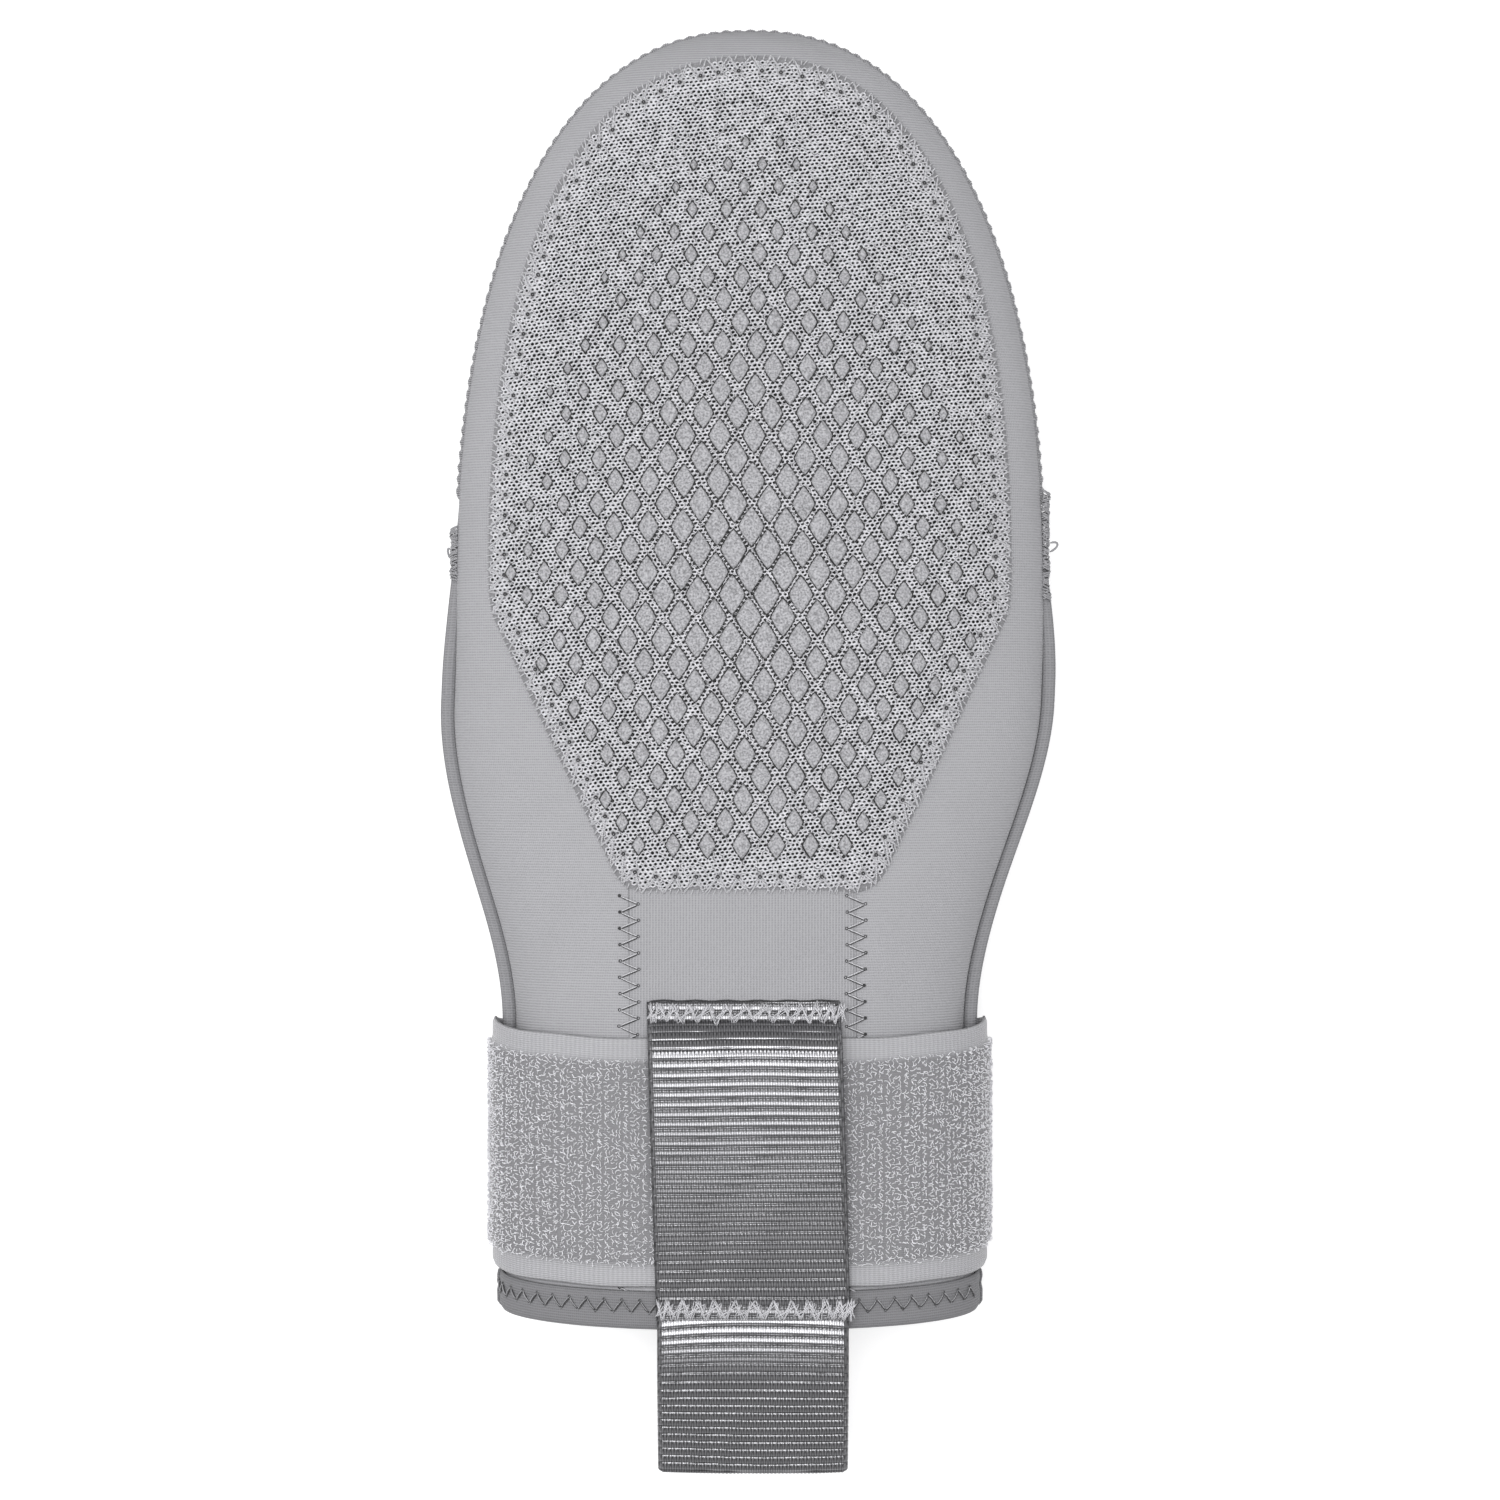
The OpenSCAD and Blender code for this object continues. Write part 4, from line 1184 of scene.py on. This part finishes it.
def make_hook_patch():
    """A hook patch on the tail's inner face: a thin base with rows of small hooks, sewn round."""
    low, high = PATCH_LOW, PATCH_HIGH
    x = np.linspace(low[0], high[0], 24)[:, None]
    y = np.linspace(low[1], high[1], 30)[None, :]
    base, _ = closed_sheet(stacked(x, y, low[2] + 0.28 + 0.03 * np.cos(y * 2.1)), stacked(x, y, low[2]))
    margin = 2.6
    places = [np.arange(low[k] + margin, high[k] - margin, pitch) for k, pitch in enumerate((1.05, 1.3))]
    gx, gy = (grid.ravel() for grid in np.meshgrid(*places, indexing="ij"))
    turn = np.linspace(0, 1, 7)[None, :]
    lean = np.where(np.arange(len(gx)) % 2 == 0, 1.0, -1.0)[:, None]
    hx = gx[:, None] + lean * (0.05 + 0.34 * np.sin(turn * 2.7) ** 2 * turn)
    hz = low[2] + 0.25 + 0.48 * np.sin(np.minimum(turn * 2.3, 2.0))
    hooks = tubes(stacked(hx, gy[:, None], hz), 0.1, 5, up=(0.02, 1.0, 0.05))
    piece("hook_patch_field", join(base, hooks), HOOKS, "strap_tail", replaces=["hook_patch"])
    (x0, y0, _), (x1, y1, _) = cad_box("hook_patch_stitch")
    corners = np.array([(x0, y0), (x1, y0), (x1, y1), (x0, y1), (x0, y0)])
    line, _ = even_path(corners, 2.4)
    line = np.column_stack([line, np.full(len(line), low[2] + 0.36)])
    piece("hook_patch_rows", stitch_row(line, 0.88, 0.12, 0.05, 0.17), THREAD, "strap_tail",
          replaces=["hook_patch_stitch"])


# ---- Webbing ----
RIB_PITCH, TAB_RIB_PITCH = 1.93, 1.78
RIB_DEPTH = 0.42
WARP_PITCH = 0.76
FLOAT_HEIGHT = 0.16
# How far the webbing's edges curl down, and how much they thin out
CURL, EDGE_THINNING = 0.25, 0.3
FOLD_GAP = 0.12


def woven(path, left, width, rib_pitch, seed, drift, skew=0.0):
    """Both faces of ribbed webbing along a path in y and z. The ribs and the warp's floats are shape.

    drift is a function of the place along and across, and gives how far the ribs are displaced."""
    path, s = even_path(path, rib_pitch / 10)
    normal = -path_normal(path)
    cols = 310
    u = np.linspace(0, 1, cols)[None, :]
    x = left + u * width + skew * (s / s[-1] - 0.5)[:, None]
    phase = (s[:, None] + drift(s[:, None] / s[-1], u) + 0.2 * lumps(x, s[:, None], 30.0, seed)) / rib_pitch
    rib = np.minimum(1.3 * np.sqrt(np.abs(np.sin(math.pi * phase)) + 1e-4), 1)
    warp = np.abs(np.sin(math.pi * u * width / WARP_PITCH + 0.5 * math.pi * (np.floor(phase) % 2)))
    floats = warp * np.exp(-((phase % 1 - 0.16) / 0.12) ** 2)
    hem = smooth(0.0, 0.02, u) * smooth(1.0, 0.98, u)
    relief = (RIB_DEPTH * (rib - 1) + FLOAT_HEIGHT * floats) * (0.35 + 0.65 * hem)
    relief = relief - EDGE_THINNING * (1 - hem)
    curl = CURL * (2 * u - 1) ** 4

    heights = (WEBBING_T / 2 + relief - curl, -WEBBING_T / 2 - 0.3 * relief - curl)
    shape, uv = closed_sheet(*(stacked(x, *offset(path, normal, height)) for height in heights))
    # Painted shade: tone darkens the rib valleys, the gaps beside the warp floats, the rounded side edges to
    # damp their glint, and the back face half as much.
    ticks = smooth(0.8, 0.3, warp) * np.exp(-((phase % 1 - 0.3) / 0.24) ** 2)
    dark = np.maximum(np.clip(1.3 - 1.9 * rib, 0, 1), 0.9 * ticks)
    edge_shade = np.full((len(s), 1), 0.9)
    tone = np.concatenate([dark, edge_shade, dark[:, ::-1] * 0.5, edge_shade], axis=1)
    return shape, uv, tone, s


KEEPER_W = KEEPER_HIGH[0] - KEEPER_LOW[0]
KEEPER_L = KEEPER_HIGH[1] - KEEPER_LOW[1]
KEEPER_SKEW = 2.0
# Shares of its length where the keeper starts to rise, where it is highest and where it is down again
KEEPER_START, KEEPER_APEX, KEEPER_END = 0.065, 0.2, 0.95
KEEPER_RISE, KEEPER_FALL = 5.6, 4.5


def keeper_path():
    """The keeper's middle line, in y and z: sewn down, up over the strap, and down in a long slope."""
    s = np.linspace(0, 1, 200)
    y = KEEPER_HIGH[1] - KEEPER_L * s
    rise = 1 - (1 - np.clip((s - KEEPER_START) / (KEEPER_APEX - KEEPER_START), 0, 1)) ** 2.6
    slope = np.clip((s - KEEPER_APEX) / (KEEPER_END - KEEPER_APEX), 0, 1) ** 2.5
    return stacked(y, KEEPER_LOW[2] + WEBBING_T / 2 + KEEPER_RISE * rise - KEEPER_FALL * slope)


def make_keeper():
    """The ribbed webbing over the strap."""
    def drift(along, u):
        return 0.5 * (u - 0.5) * np.sin(math.pi * along)

    left = KEEPER_LOW[0] - 0.3
    shape, uv, tone, s = woven(keeper_path(), left, KEEPER_W, RIB_PITCH, 51, drift, KEEPER_SKEW)
    obj = piece("keeper_webbing", shape, WEBBING, uv=uv, tone=tone,
                replaces=["strap_keeper"])


# Degrees: the tab starts out upwards by the first, and turns down by the second on its way
TAB_START, TAB_DROOP = -9, 36


def tab_path():
    """The tab's middle line: out from the seam, drooping more and more, round its fold and back under."""
    length = math.hypot(TAB_HIGH[1] - TAB_LOW[1], TAB_HIGH[2] - TAB_LOW[2]) - 2.0
    s = np.linspace(0, length, 80)
    droop = np.radians(TAB_START + TAB_DROOP * smooth(0, length * 0.6, s))
    y = KEEPER_LOW[1] + 0.6 - np.cumsum(np.cos(droop)) * s[1]
    z = KEEPER_LOW[2] + 1.1 + WEBBING_T / 2 - np.cumsum(np.sin(droop)) * s[1]
    upper = stacked(y, z)
    ahead = unit(np.gradient(upper, axis=0))[-1]
    down = path_normal(upper)
    r = WEBBING_T / 2 + FOLD_GAP
    turn = np.radians(np.linspace(0, 180, 14))[1:-1, None]
    centre = upper[-1] + down[-1] * r
    fold = centre - down[-1] * r * np.cos(turn) + ahead * r * np.sin(turn)
    lower = (upper + down * 2 * r)[::-1]
    return np.concatenate([upper, fold, lower])


def make_tab():
    """The folded pull tab, drooping from the lower seam."""
    def drift(along, u):
        return 0.9 * (4 * u * (1 - u)) * np.exp(-6 * along)

    width = TAB_HIGH[0] - TAB_LOW[0]
    shape, uv, tone, s = woven(tab_path(), TAB_LOW[0] + 0.6, width, TAB_RIB_PITCH, 52, drift)
    fold = [(0, (KEEPER_LOW[1] + out) * MM, KEEPER_HIGH[2] * MM) for out in (0.5, -5.0)]
    obj = piece("tab_webbing", shape, WEBBING, ["root", "pull_tab"], uv=uv, tone=tone,
                replaces=["pull_tab"], fold=fold)


TACK_STRANDS = 6
TACK_RADIUS = 0.11
TACK_LIFT = 0.12


def make_webbing_tack(end, y, pitch, depth, shift):
    """A heavy zigzag across the webbing, of bundled threads, closer at its ends and going over its edge."""
    path = keeper_path()
    count = int(KEEPER_W / pitch) + 5
    u = np.linspace(-1, 1, count)
    u = np.sign(u) * (1 - (1 - np.abs(u)) ** 1.25)
    x = u * (KEEPER_W / 2 + 0.1) + shift
    half = np.append(np.diff(x) / 2, 0.5)
    legs = []
    for strand in range(TACK_STRANDS):
        lean = (strand % 4 - 1.5) * 0.22 + (half.mean() if strand > 3 else 0)
        reach = depth / 2 if strand < 4 else depth / 3
        wander = RNG.normal(0, 0.24, (4, count))
        ay = y + reach + wander[0]
        by = y - reach + wander[1]
        az, bz = (np.interp(-v, -path[:, 0], path[:, 1]) + WEBBING_T / 2 + TACK_LIFT for v in (ay, by))
        a = stacked(x + lean + wander[2], ay, az)
        b = stacked(x + half - lean + wander[3], by, bz)
        up = np.broadcast_to((0.0, 0.0, 1.0), a.shape)
        legs.append(zigzag_legs(a, b, up, radius=TACK_RADIUS, lift=0.4 + 0.05 * strand, dip=0.35))
    piece(f"{end}_zigzag", join(*legs), TACK_THREAD, replaces=[f"{end}_tack"])


def make_keeper_top_shadow():
    """A dark tube along the keeper's upper end, where it is sewn down into the cloth: a painted shadow of
    the webbing's end.
    """
    x = np.linspace(KEEPER_LOW[0] - 1.0, KEEPER_HIGH[0] - 1.2, 30)
    y = KEEPER_HIGH[1] + 0.15 + 0.1 * np.sin(x)
    piece("keeper_top_shadow", tubes(on_front(x, y, 0.75)[None], 0.2, 6, up=(0.0, 0.1, 1.0)), SHADE_PAINT)


# ---- Stage ----
# The camera's sensor is in millimetres, and the stage's other lengths are in metres. VIEW_WIDTH is what
# the camera sees at the height of the pad's front.
SENSOR_WIDTH = 36
CAMERA_HEIGHT = 0.95
VIEW_WIDTH = 0.3057
FRONT_HEIGHT = 0.03
FLOOR_SIZE = 8
FLOOR_GLOW = 0.58
SKY = 0.44
# Place, size and power of each soft box
LIGHTS = {
    "key": ((-0.06, 0.05, 1.2), (0.6, 0.7), 13.4),
    "fill": ((-0.8, 0.3, 1.0), (0.8, 0.8), 2.4),
}


def area_light(name, place, size, power):
    """A soft box that faces the part."""
    data = bpy.data.lights.new(name, "AREA")
    data.shape = "RECTANGLE"
    data.size, data.size_y = size
    data.energy = power
    lamp = bpy.data.objects.new(name, data)
    lamp.location = place
    lamp.rotation_euler = (-Vector(place)).to_track_quat("-Z", "Y").to_euler()
    bpy.context.scene.collection.objects.link(lamp)


def make_stage():
    """A pale lit floor, soft studio light and a camera straight above."""
    floor_mat = Shader("floor", roughness=0.9, specular_ior_level=0.1, emission_color=(1, 1, 1, 1),
                       emission_strength=FLOOR_GLOW)
    speck = floor_mat.noise(floor_mat.place(), 60.0, 2)
    floor_mat.finish(floor_mat.blend(speck, (0.55, 0.55, 0.555, 1), (0.58, 0.58, 0.585, 1)))
    bpy.ops.mesh.primitive_plane_add(size=FLOOR_SIZE, location=(0, 0, 0))
    floor = bpy.context.object
    floor.name = "floor"
    floor.data.materials.append(floor_mat.material)

    world = bpy.data.worlds.new("studio")
    world.use_nodes = True
    sky = world.node_tree.nodes["Background"].inputs
    sky[0].default_value = (1, 1, 1, 1)
    sky[1].default_value = SKY
    bpy.context.scene.world = world
    for name, (place, size, power) in LIGHTS.items():
        area_light(name, place, size, power)

    camera = bpy.data.cameras.new("camera")
    camera.sensor_width = SENSOR_WIDTH
    camera.lens = camera.sensor_width * (CAMERA_HEIGHT - FRONT_HEIGHT) / VIEW_WIDTH
    obj = bpy.data.objects.new("camera", camera)
    obj.location = (0, 0, CAMERA_HEIGHT)
    bpy.context.scene.collection.objects.link(obj)
    bpy.context.scene.camera = obj
    bpy.context.scene.view_settings.view_transform = "Standard"


make_stage()
TILES = tile_places()
for panel_side in (1, -1):
    make_panel(panel_side)
    make_lining(panel_side)
    make_pad_base(panel_side)
    make_pad_knit(panel_side, TILES)
    make_tiles(panel_side, TILES)
    make_pad_stitching(panel_side)
    make_hem(panel_side)
make_inset()
make_inset_seams()
make_overlock()
make_tack("left_tack", -1)
make_tack("right_tack", 1)
make_straps()
make_strap_sewing()
make_hook_patch()
make_keeper()
make_tab()
make_keeper_top_shadow()
make_webbing_tack("keeper_top", KEEPER_HIGH[1] - 2.3, pitch=4.4, depth=3.9, shift=-1.0)
make_webbing_tack("keeper_bottom", KEEPER_LOW[1] + 2.2, pitch=4.6, depth=4.2, shift=0.7)
for plate_node in ("front_plate", "back_plate"):
    for plate_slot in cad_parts[plate_node].material_slots:
        plate_slot.material = PLATE
